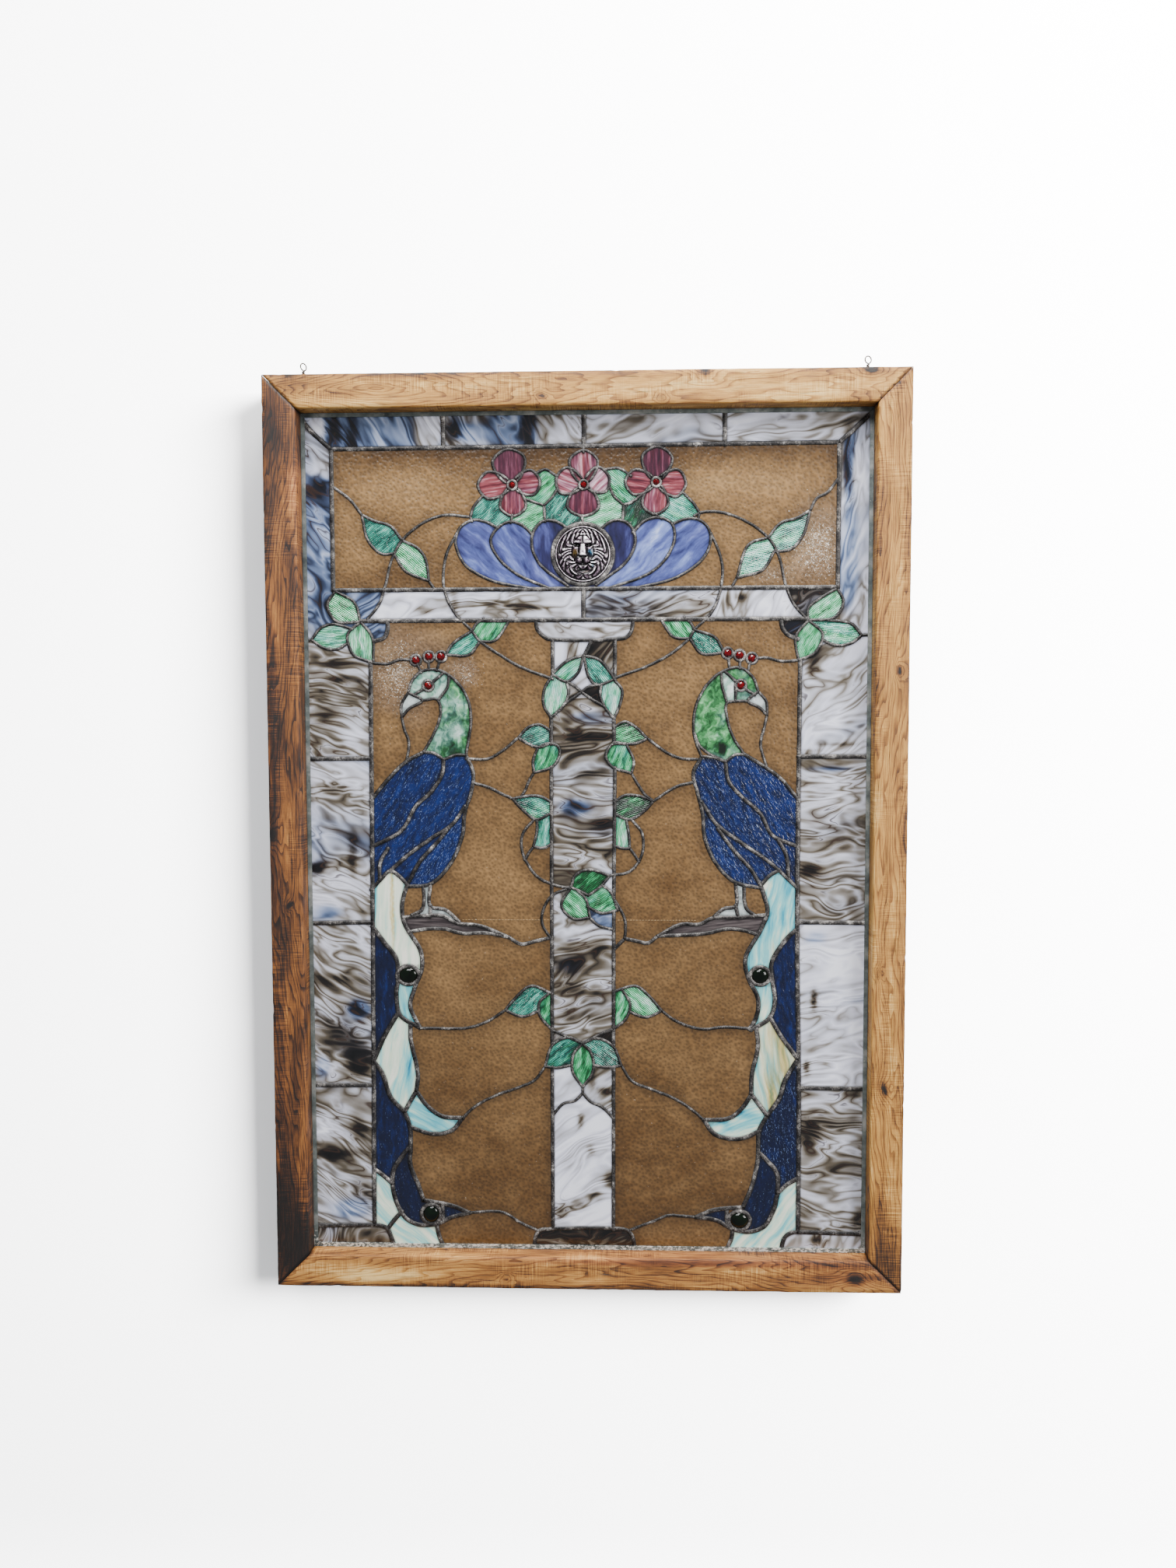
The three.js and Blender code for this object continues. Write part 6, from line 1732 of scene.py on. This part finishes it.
    def finish(self) -> bpy.types.Material:
        """Returns the finish of the weathered timber."""
        shader = Shader("weathered_timber")
        grain = shader.attribute("grain")
        lean, red, ring = shader.parts(shader.attribute("tone"))
        drift = shader.noise(grain, (0.008, 0.05, 0.05), 2.0)
        year = shader.math("ADD", shader.math("MULTIPLY", ring, 0.3), shader.math("MULTIPLY", drift, 7.0))
        year = shader.math("FRACT", year)
        late = shader.step(year, 0.55, 0.97, 0.0, 1.0)
        fibre = shader.noise(grain, (0.05, 1.6, 1.6), 6.0, 0.75)
        blotch = shader.noise(grain, (0.009, 0.05, 0.05), 4.0, 0.6)
        saw = shader.noise(grain, (1.1, 0.03, 0.03), 2.0)
        sawn = shader.noise(grain, (0.012, 0.03, 0.03), 2.0)
        level = shader.math("MULTIPLY_ADD", late, -0.24, 0.6)
        for part, amount in ((fibre, 1.0), (blotch, 1.1)):
            level = shader.math("ADD", level, shader.math("MULTIPLY_ADD", part, amount, -amount / 2))
        share = shader.step(sawn, 0.42, 0.6, 0.0, 0.9)
        saw = shader.math("MULTIPLY", shader.math("SUBTRACT", saw, 0.5), share)
        level = shader.math("ADD", shader.math("ADD", level, saw), lean, clamp=True)
        golden = shader.ramp(level, (
            (0, (24, 14, 8)), (0.22, (84, 53, 24)), (0.45, (156, 109, 50)), (0.7, (204, 157, 82)),
            (1, (240, 208, 142))))
        ruddy = shader.ramp(level, (
            (0, (22, 11, 7)), (0.22, (72, 38, 20)), (0.45, (136, 82, 44)), (0.7, (184, 126, 74)),
            (1, (222, 176, 122))))
        color = shader.blend(shader.step(red, 0.0, 0.8), golden, ruddy)
        speck = shader.noise(grain, (0.16, 0.55, 0.55), 3.0, 0.6)
        color = shader.blend(shader.step(speck, 0.66, 0.76, 0.0, 0.75), color, linear((38, 24, 16)))
        crack = shader.noise(grain, (0.006, 0.42, 0.42), 2.0, 0.5, 0.6)
        crack = shader.math("ABSOLUTE", shader.math("SUBTRACT", crack, 0.5))
        crack = shader.step(crack, 0.0, 0.012, 1.0, 0.0)
        broken = shader.step(shader.noise(grain, (0.02, 0.1, 0.1), 1.0), 0.52, 0.6)
        crack = shader.math("MULTIPLY", crack, broken)
        color = shader.blend(shader.math("MULTIPLY", crack, 0.8), color, linear((30, 18, 12)))
        shader.paint(color)
        shader.feed(shader.surface.inputs["Roughness"], shader.step(fibre, 0.3, 0.7, 0.5, 0.75))
        height = shader.math("SUBTRACT", shader.math("ADD", fibre, saw), crack)
        shader.relief(height, 0.5)
        return shader.material


@dataclass
class LionJewel:
    """The pressed jewel with a lion's face in its mane."""

    x: float = -3.0
    z: float = 324.0
    radius: float = 31.4
    base: float = -40.6
    back: float = -37.6
    rings: int = 130
    sides: int = 280
    locks: int = 10
    near: float = 1.9

    def mane(self, x: np.ndarray, z: np.ndarray) -> np.ndarray:
        """Returns the height of the mane: long swept locks that lie over shorter ones at the rim.

        Args:
            x: Where each point lies across, in mm from the jewel's middle.
            z: Where each point lies up, in mm from it.

        Returns:
            The height in mm.
        """
        distance, turn = np.hypot(x, z), np.arctan2(np.abs(x), z)
        sway = 0.8 * np.sin(0.26 * (distance - 6) + 2.0 * np.sin(1.9 * turn + 0.4))
        inner = (self.locks * turn / math.pi + sway) % 1.0
        outer = (inner + 0.5 + 0.06 * (distance - 20)) % 1.0
        tip = 18.5 + 4.5 * np.sin(math.pi * inner) + 1.2 * np.sin(5 * turn)
        over = (0.25 + 0.75 * np.sin(math.pi * inner) ** 0.8 + 0.1 * np.cos(6 * math.pi * inner)) * 3.3
        fading = np.sqrt(np.clip((29.3 - distance) / 3, 0, 1))
        under = (0.2 + 0.8 * np.sin(math.pi * outer) ** 0.8) * 2.3 * fading
        return np.where(distance < tip, over, under)

    @staticmethod
    def bridge(x: np.ndarray, z: np.ndarray) -> np.ndarray:
        """Returns the share of the long flat bridge of the nose, wider at its foot."""
        width = 2.5 + 0.13 * np.clip(8 - z, 0, 10)
        return np.exp(-((x / width) ** 4)) * np.exp(-((np.clip(np.abs(z - 4.4) - 5.4, 0, 9) / 1.0) ** 2))

    def height(self, x: np.ndarray, z: np.ndarray) -> np.ndarray:
        """Returns the relief's height in mm over the jewel's face.

        Args:
            x: Where each point lies across, in mm from the jewel's middle.
            z: Where each point lies up, in mm from it.

        Returns:
            The height in mm.
        """
        distance = np.hypot(x, z)
        width = 13.0 - 0.3 * np.clip(-z - 1, 0, 14)
        face = np.clip(1 - (x / width) ** 2 - ((z - 1.8) / 19.6) ** 2, 0, 1)
        inside = np.clip(face * 9, 0, 1)
        side = np.abs(x)
        skin = 1.6 + 2.0 * np.sqrt(face)
        for place, reach, angle, lift in (
            ((4.0, 16.0), (3.6, 4.6), 0, 1.4), ((7.4, 13.4), (4.6, 1.3), 8, 1.4),
            ((11.2, 11.4), (2.0, 1.2), -40, 1.0), ((6.6, 9.8), (3.4, 1.9), 8, -3.4),
            ((6.4, 9.6), (1.2, 0.9), 0, 1.6), ((8.6, 3.6), (2.8, 4.0), 8, 1.3),
            ((4.6, 4.5), (0.9, 5.0), 0, -1.3), ((4.0, -7.6), (3.4, 3.2), 0, 2.6),
            ((2.6, -3.4), (1.3, 0.7), 0, -1.5), ((4.6, -11.4), (4.0, 0.7), 24, -1.5),
            ((1.8, -14.4), (3.2, 1.8), 0, 1.0),
        ):
            skin = skin + lift * hill(side, z, place, reach, angle)
        skin += 1.7 * self.bridge(x, z) + 1.0 * hill(x, z, (0, -1.2), (3.4, 1.4))
        skin -= 1.0 * hill(x, z, (0, 17.5), (0.7, 4.5)) + 1.3 * hill(x, z, (0, -7.6), (0.5, 3.4))
        rim = 1.6 * np.exp(-(((distance - 30.4) / 0.8) ** 2))
        mane = self.mane(x, z) * (1 - 0.8 * hill(x, z, (0, -18.0), (9, 4.5)))
        relief = np.maximum(mane * (1 - inside), skin * inside)
        low = 0.2 + 0.5 * (1 - (distance / self.radius) ** 2)
        return np.clip(low + relief * (distance < 29.4) + rim, 0, 6.6)

    def crest(self, x: np.ndarray, z: np.ndarray) -> np.ndarray:
        """Returns how far the relief stands above its surroundings, in mm."""
        turns = np.arange(8) * (math.pi / 4)
        around = [self.height(x + self.near * math.cos(a), z + self.near * math.sin(a)) for a in turns]
        return self.height(x, z) - np.mean(around, axis=0)

    def build(self, shop: Workshop) -> None:
        """Makes the jewel.

        Args:
            shop: What makes the pieces.
        """
        radii = np.linspace(0.0, 1.0, self.rings + 1)[1:] * self.radius
        turns = np.arange(self.sides) * (2 * math.pi / self.sides)
        x = radii[:, None] * np.cos(turns)[None, :]
        z = radii[:, None] * np.sin(turns)[None, :]
        height = self.height(x, z)
        # Painted light: the crests of the relief are paler and its hollows darker, with painted highlights
        # on the bridge of the nose and the brow; the face is also a little paler towards the right and
        # darker round the muzzle.
        level = 0.3 + self.crest(x, z) * 0.6 + 0.05 * x / self.radius
        level += 0.5 * self.bridge(x, z) + 0.4 * hill(x, z, (3.2, 16.5), (4.4, 4.4))
        level -= 0.2 * hill(x, z, (0, -9), (7.5, 7))
        gold = 0.6 * hill(x, z, (-8.8, 0.4), (3.4, 5.4)) + 0.3 * hill(x, z, (3, -20), (6, 3))
        blue = 0.6 * hill(x, z, (8.8, 1.2), (3.8, 4.6)) + 0.5 * hill(x, z, (11, -11), (2, 6))
        front = np.stack((x + self.x, self.base - height, z + self.z), 2).reshape(-1, 3)
        behind = np.column_stack((x[-1] + self.x, np.full(self.sides, self.back), z[-1] + self.z))
        points = np.vstack((front, behind))
        faces = lathe_faces(self.rings + 1, self.sides)
        tone = np.stack((level, gold, blue), 2).reshape(-1, 3)
        tone = {"tone": np.vstack((tone, np.zeros((self.sides, 3))))}
        finish = self.finish()
        shop.piece(
            "lion_jewel", points, faces, finish, ("lion_medallion",), tone, outward=True,
        )

    def finish(self) -> bpy.types.Material:
        """Returns the lustre, with painted light: painted shade in the hollows and painted highlights on
        the crests, gold on one cheek and turquoise on the other.
        """
        shader = Shader("lustred_pressed_glass", Metallic=0.2, Roughness=0.25)
        place = shader.place()
        level, gold, blue = shader.parts(shader.attribute("tone"))
        patch = shader.noise(place, 0.4, 4.0)
        level = shader.math("ADD", level, shader.math("MULTIPLY_ADD", patch, 1.0, -0.5), clamp=True)
        plum = shader.ramp(level, (
            (0, (4, 3, 5)), (0.3, (26, 18, 26)), (0.5, (74, 58, 70)), (0.7, (158, 142, 156)),
            (0.95, (250, 246, 250))))
        brass = shader.ramp(level, (
            (0, (8, 5, 3)), (0.3, (50, 38, 16)), (0.5, (132, 110, 52)), (0.7, (208, 190, 122)),
            (0.95, (252, 248, 226))))
        teal = shader.ramp(level, (
            (0, (3, 6, 12)), (0.3, (14, 38, 58)), (0.5, (40, 104, 132)), (0.7, (116, 186, 202)),
            (0.95, (240, 250, 252))))
        color = shader.blend(shader.step(gold, 0.1, 0.7), plum, brass)
        shader.paint(shader.blend(shader.step(blue, 0.1, 0.7), color, teal))
        return shader.material


@dataclass
class SmallJewels:
    """The smooth dark nuggets and the little red faceted jewels."""

    glass_face: float = -40.3
    nugget_front: float = -44.1
    back: float = -37.7
    jewel_rise: float = 2.6
    flower_radius: float = 3.7
    head_radius: float = 4.7
    shoulder: float = 0.6
    over_seat: float = 1.02

    def build(self, shop: Workshop) -> None:
        """Makes the four nuggets and the red jewels.

        Args:
            shop: What makes the pieces.
        """
        dark = Shader("dark_green_nugget_glass", Roughness=0.05, Specular_IOR_Level=0.3)
        depth = dark.noise(dark.place(), 0.12, 3.0)
        dark.paint(dark.ramp(depth, ((0.3, (3, 7, 4)), (0.7, (12, 28, 14)))))
        for jewel in SET_JEWELS[1:]:
            self.nugget(shop, jewel, dark.material)
        red = Shader("red_faceted_glass", Roughness=0.08, Specular_IOR_Level=0.4)
        fire = red.noise(red.place(), 0.5, 2.0)
        red.paint(red.ramp(fire, ((0.3, (40, 2, 8)), (0.7, (134, 10, 24)))))
        places = [(flower.x, flower.z, self.flower_radius) for flower in FLOWERS]
        places += [(x, z, self.head_radius) for x, z in (*CREST_JEWELS, *EYE_JEWELS)]
        points, faces = joined([self.faceted(*place) for place in places])
        shop.piece("red_jewels", points, faces, red.material, ("leading",), smooth=False, outward=True)

    def nugget(self, shop: Workshop, jewel: SetJewel, finish: bpy.types.Material) -> None:
        """Makes one smooth nugget.

        Args:
            shop: What makes the pieces.
            jewel: Which jewel it is.
            finish: Its finish.
        """
        sides, rings = 48, []
        turns = np.arange(sides) * (2 * math.pi / sides)
        edge = 1 + 0.02 * np.sin(2 * turns + jewel.x) + 0.015 * np.sin(3 * turns)
        for spread, back in ((0.9, self.back), (0.99, -38.6)):
            rings.append((spread, back))
        for step in range(13):
            tilt = math.pi / 2 * step / 13
            low = self.glass_face + self.shoulder
            rings.append((math.cos(tilt), low + (self.nugget_front - low) * math.sin(tilt)))
        rings.append((0.03, self.nugget_front))
        wide, high = jewel.half_width * self.over_seat * edge, jewel.half_height * self.over_seat * edge
        points = np.concatenate([
            np.column_stack((
                jewel.x + wide * spread * np.cos(turns), np.full(sides, back),
                jewel.z + high * spread * np.sin(turns)))
            for spread, back in rings])
        faces = lathe_faces(len(rings), sides)
        shop.piece(f"dark_{jewel.node}", points, faces, finish, (jewel.node,), outward=True)

    def faceted(self, x: float, z: float, radius: float) -> tuple[np.ndarray, list]:
        """Returns the points and faces of one faceted jewel.

        Args:
            x: Where it lies across, in mm.
            z: Where it lies up, in mm.
            radius: Its radius in mm.

        Returns:
            Its points and faces.
        """
        sides, rings = 8, []
        middle, front = self.glass_face - 0.62 * self.jewel_rise, self.glass_face - self.jewel_rise
        for spread, back, turn in (
            (0.9, self.back, 0), (1, self.glass_face, 0), (0.74, middle, 0.5), (0.42, front, 0),
        ):
            angles = (np.arange(sides) + turn) * (2 * math.pi / sides)
            reach = radius * spread
            rings.append(np.column_stack((
                x + reach * np.cos(angles), np.full(sides, back), z + reach * np.sin(angles))))
        skin = lathe_faces(len(rings), sides)
        faces = [(a, b, c) for a, b, c, _ in skin[:-2]] + [(a, c, d) for a, _, c, d in skin[:-2]]
        return np.concatenate(rings), faces + skin[-2:]


@dataclass
class Hardware:
    """The screw eyes in the top bar, the wire wound on each, and the edge came."""

    ring_radius: float = 3.9
    wire: float = 0.75
    ring_z: float = 534.9
    y: float = -44.0
    shank_top: float = 531.0
    shank_end: float = 506.4
    thread_pitch: float = 1.1
    sides: int = 12
    coil_turns: int = 5
    coil_foot: float = 523.4
    coil_pitch: float = 1.25
    coil_wire: float = 0.5

    def build(self, shop: Workshop, nodes: dict[str, bpy.types.Object]) -> None:
        """Makes the screw eyes and wires, and dresses the came.

        Args:
            shop: What makes the pieces.
            nodes: The solids that the CAD sent, by name.
        """
        steel = Shader("rusted_steel", Metallic=0.8, Roughness=0.5)
        rust = steel.noise(steel.place(), 0.6, 4.0)
        steel.paint(steel.ramp(rust, ((0.35, (40, 36, 34)), (0.6, (96, 84, 74)), (0.8, (120, 74, 46)))))
        for side, x, twist in (("left", -318.0, 52.0), ("right", 315.0, 20.0)):
            self.eye(shop, side, x, twist, steel.material)
            self.wound_wire(shop, side, x, steel.material)
        finish = self.came_finish()
        for name in ("top", "left", "bottom", "right"):
            came = nodes[f"edge_came_{name}"]
            for material_slot in came.material_slots:
                material_slot.material = finish

    def eye(self, shop: Workshop, side: str, x: float, twist: float, finish: bpy.types.Material) -> None:
        """Makes one screw eye, with its ring turned a little and a thread on its shank.

        Args:
            shop: What makes the pieces.
            side: "left" or "right".
            x: Where it lies across, in mm.
            twist: How far it is turned, in degrees.
            finish: Its finish.
        """
        turns = np.radians(np.linspace(-80, 262, 40))
        angle = math.radians(twist)
        reach = self.ring_radius * np.cos(turns)
        height = self.ring_z + self.ring_radius * np.sin(turns)
        ring = np.column_stack((x + reach * math.cos(angle), self.y + reach * math.sin(angle), height))
        levels = np.linspace(self.shank_top, self.shank_end, 90)
        shank = np.column_stack((np.full(len(levels), x), np.full(len(levels), self.y), levels))
        thread = 0.86 + 0.14 * np.cos(levels * 2 * math.pi / self.thread_pitch)
        point = np.clip((levels - self.shank_end) / 5 + 0.2, 0, 1)
        points, faces = joined((
            swept(ring, np.full(len(ring), self.wire), self.sides),
            swept(shank, self.wire * thread * point, self.sides)))
        node = f"screw_eye_{side}"
        shop.piece(f"turned_{node}", points, faces, finish, (node,), outward=True)

    def wound_wire(self, shop: Workshop, side: str, x: float, finish: bpy.types.Material) -> None:
        """Makes the old wire wound on the shank, with a loose end.

        Args:
            shop: What makes the pieces.
            side: "left" or "right".
            x: Where it lies across, in mm.
            finish: Its finish.
        """
        random = np.random.default_rng(5 if side == "left" else 6)
        turns = np.linspace(0, self.coil_turns * 2 * math.pi, 110)
        radius = 1.35 + 0.22 * np.sin(turns * 0.7)
        height = self.coil_foot + turns / (2 * math.pi) * self.coil_pitch
        coil = np.column_stack((x + radius * np.cos(turns), self.y + radius * np.sin(turns), height))
        reach = np.linspace(-1 if side == "left" else -4, 0, 14)[:-1]
        rise = 0.6 * np.sin(np.linspace(0, 5, len(reach)))
        tail = coil[0] + np.column_stack((reach, np.full(len(reach), -0.4), rise))
        path = np.vstack((tail, coil))
        path += random.normal(0, 0.03, path.shape)
        points, faces = swept(path, np.full(len(path), self.coil_wire), 8)
        node = f"hanging_wire_{side}"
        shop.piece(f"wound_wire_{side}", points, faces, finish, (node,), outward=True)

    @staticmethod
    def came_finish() -> bpy.types.Material:
        """Returns the finish of the edge came: dull metal, smeared white with old sealant low down."""
        shader = Shader("dull_edge_came", Metallic=0.5, Roughness=0.5)
        place = shader.place()
        height = shader.parts(place)[2]
        patch = shader.noise(place, (0.05, 0.2, 0.05), 4.0, 0.6)
        smear = shader.noise(place, (0.22, 0.4, 0.4), 5.0, 0.7)
        color = shader.ramp(patch, ((0.3, (84, 92, 92)), (0.5, (122, 130, 128)), (0.72, (170, 172, 168))))
        low = shader.step(height, -985.0, -960.0, 0.14, -0.04)
        share = shader.step(shader.math("ADD", smear, low), 0.62, 0.7)
        shader.paint(shader.blend(share, color, linear((226, 226, 220))))
        shader.relief(smear, 0.4)
        return shader.material


@dataclass(frozen=True)
class Lamp:
    """A soft rectangular light: its place and what it faces in mm, its size in mm, watts and colour."""

    name: str
    place: tuple[float, float, float]
    aim: tuple[float, float, float]
    wide: float
    high: float
    watts: float
    color: tuple[float, float, float]


@dataclass
class Studio:
    """The pale wall and floor, the soft lights and the camera, in mm from the frame's front middle."""

    camera: tuple[float, float, float] = (44.28, -1272.67, 137.33)
    facing: tuple[float, float, float] = (-0.032472, 0.997828, -0.057310)
    upward: tuple[float, float, float] = (0.000908, 0.057369, 0.998353)
    lens: float = 26.0
    film: float = 36.0
    wall_gap: float = 4.0
    floor_below: float = 1150.0
    cove: float = 300.0
    half_width: float = 5000.0
    height: float = 3500.0
    forward: float = 4500.0
    room_color: tuple[float, float, float, float] = (0.86, 0.88, 0.92, 1.0)
    room_strength: float = 0.4
    lamps: tuple[Lamp, ...] = (
        Lamp("high_soft_light", (260, -430, 1900), (0, 60, -100), 700, 620, 70, (1.0, 0.97, 0.93)),
        Lamp("side_soft_light", (2300, -1900, 700), (0, 0, 0), 1300, 1500, 110, (1.0, 0.98, 0.96)),
        Lamp("raised_soft_light", (-500, -2300, 3000), (0, 0, 0), 1800, 1800, 190, (0.97, 0.98, 1.0)),
        Lamp("wall_light", (2500, -2300, 1250), (0, 0, 0), 2300, 1500, 1900, (1.0, 1.0, 1.0)),
    )

    def build(self, low: Vector, high: Vector) -> None:
        """Sets up the studio round the frame's box.

        Args:
            low: The frame's lowest corner, in m.
            high: The frame's highest corner, in m.
        """
        middle = Vector(((low.x + high.x) / 2, low.y, (low.z + high.z) / 2))
        sweep = self.sweep(middle, high.y)
        lamps = [self.light(middle, lamp) for lamp in self.lamps]
        lit_by_it = bpy.data.collections.new("lit_by_wall_light")
        lit_by_it.objects.link(sweep)
        lamps[-1].light_linking.receiver_collection = lit_by_it
        world = bpy.data.worlds.new("pale_room")
        world.use_nodes = True
        background = world.node_tree.nodes["Background"]
        background.inputs["Color"].default_value = self.room_color
        background.inputs["Strength"].default_value = self.room_strength
        bpy.context.scene.world = world
        self.shoot(middle)

    def light(self, middle: Vector, lamp: Lamp) -> bpy.types.Object:
        """Hangs a soft rectangular light.

        Args:
            middle: The middle of the frame's front, in m.
            lamp: The light to hang.

        Returns:
            The light, facing its aim.
        """
        data = bpy.data.lights.new(lamp.name, "AREA")
        data.shape, data.size, data.size_y = "RECTANGLE", lamp.wide * MM, lamp.high * MM
        data.energy, data.color = lamp.watts, lamp.color
        hung = bpy.data.objects.new(lamp.name, data)
        hung.location = middle + Vector(lamp.place) * MM
        hung.rotation_euler = (Vector(lamp.aim) - Vector(lamp.place)).to_track_quat("-Z", "Y").to_euler()
        bpy.context.scene.collection.objects.link(hung)
        return hung

    def sweep(self, middle: Vector, back: float) -> bpy.types.Object:
        """Makes the wall that curves into the floor.

        Args:
            middle: The middle of the frame's front, in m.
            back: How far back it lies, in m.

        Returns:
            The wall and floor.
        """
        wall, floor = back + self.wall_gap * MM, middle.z - self.floor_below * MM
        radius = self.cove * MM
        profile = [(wall, middle.z + self.height * MM)]
        for step in range(13):
            turn = math.pi / 2 * step / 12
            profile.append((wall - radius * (1 - math.cos(turn)), floor + radius * (1 - math.sin(turn))))
        profile.append((wall - self.forward * MM, floor))
        reach = self.half_width * MM
        points = [(side * reach, y, z) for y, z in profile for side in (-1, 1)]
        faces = [(2 * i + 2, 2 * i + 3, 2 * i + 1, 2 * i) for i in range(len(profile) - 1)]
        mesh = bpy.data.meshes.new("studio_sweep")
        mesh.from_pydata(points, [], faces)
        mesh.shade_smooth()
        mesh.materials.append(self.paper())
        sweep = bpy.data.objects.new("studio_sweep", mesh)
        bpy.context.scene.collection.objects.link(sweep)
        for ray in ("visible_diffuse", "visible_glossy", "visible_transmission", "visible_shadow"):
            setattr(sweep, ray, False)
        return sweep

    @staticmethod
    def paper() -> bpy.types.Material:
        """Returns the bright matt wall, which can't be seen from behind."""
        material = bpy.data.materials.new("bright_wall")
        material.use_nodes = True
        tree = material.node_tree
        tree.nodes.clear()
        matt = tree.nodes.new("ShaderNodeBsdfDiffuse")
        matt.inputs["Color"].default_value = (0.9, 0.9, 0.9, 1)
        clear = tree.nodes.new("ShaderNodeBsdfTransparent")
        behind = tree.nodes.new("ShaderNodeNewGeometry")
        mix = tree.nodes.new("ShaderNodeMixShader")
        output = tree.nodes.new("ShaderNodeOutputMaterial")
        tree.links.new(behind.outputs["Backfacing"], mix.inputs[0])
        tree.links.new(matt.outputs[0], mix.inputs[1])
        tree.links.new(clear.outputs[0], mix.inputs[2])
        tree.links.new(mix.outputs[0], output.inputs["Surface"])
        return material

    def shoot(self, middle: Vector) -> None:
        """Sets up the camera.

        Args:
            middle: The middle of the frame's front, in m.
        """
        data = bpy.data.cameras.new("camera")
        data.lens, data.sensor_width, data.sensor_height = self.lens, self.film, self.film
        data.sensor_fit = "AUTO"
        camera = bpy.data.objects.new("camera", data)
        ahead, up = Vector(self.facing).normalized(), Vector(self.upward).normalized()
        right = ahead.cross(up)
        turn = Matrix((right, up, -ahead)).transposed()
        camera.matrix_world = Matrix.Translation(middle + Vector(self.camera) * MM) @ turn.to_4x4()
        bpy.context.scene.collection.objects.link(camera)
        bpy.context.scene.camera = camera


def main() -> None:
    """Builds the window and its studio."""
    logging.basicConfig(level=logging.INFO, format="%(name)s: %(message)s")
    for leftover in list(bpy.data.objects):
        bpy.data.objects.remove(leftover)
    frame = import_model()
    bars = [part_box(rail.node) for rail in WoodFrame.rails]
    low = Vector(min(bar[0][k] for bar in bars) for k in range(3))
    high = Vector(max(bar[1][k] for bar in bars) for k in range(3))
    top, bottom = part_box("frame_top"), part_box("frame_bottom")
    shop = Workshop((low.x + high.x) / 2 / MM, (top[1].z + bottom[0].z) / 2 / MM)
    tracery = Tracery()
    GlassWork().build(shop, tracery)
    SolderWork().build(shop, tracery)
    WoodFrame().build(shop)
    LionJewel().build(shop)
    SmallJewels().build(shop)
    Hardware().build(shop, frame["nodes"])
    Studio().build(low, high)
    LOG.info("%d pieces", len(shop.made))


if __name__ == "__main__":
    main()
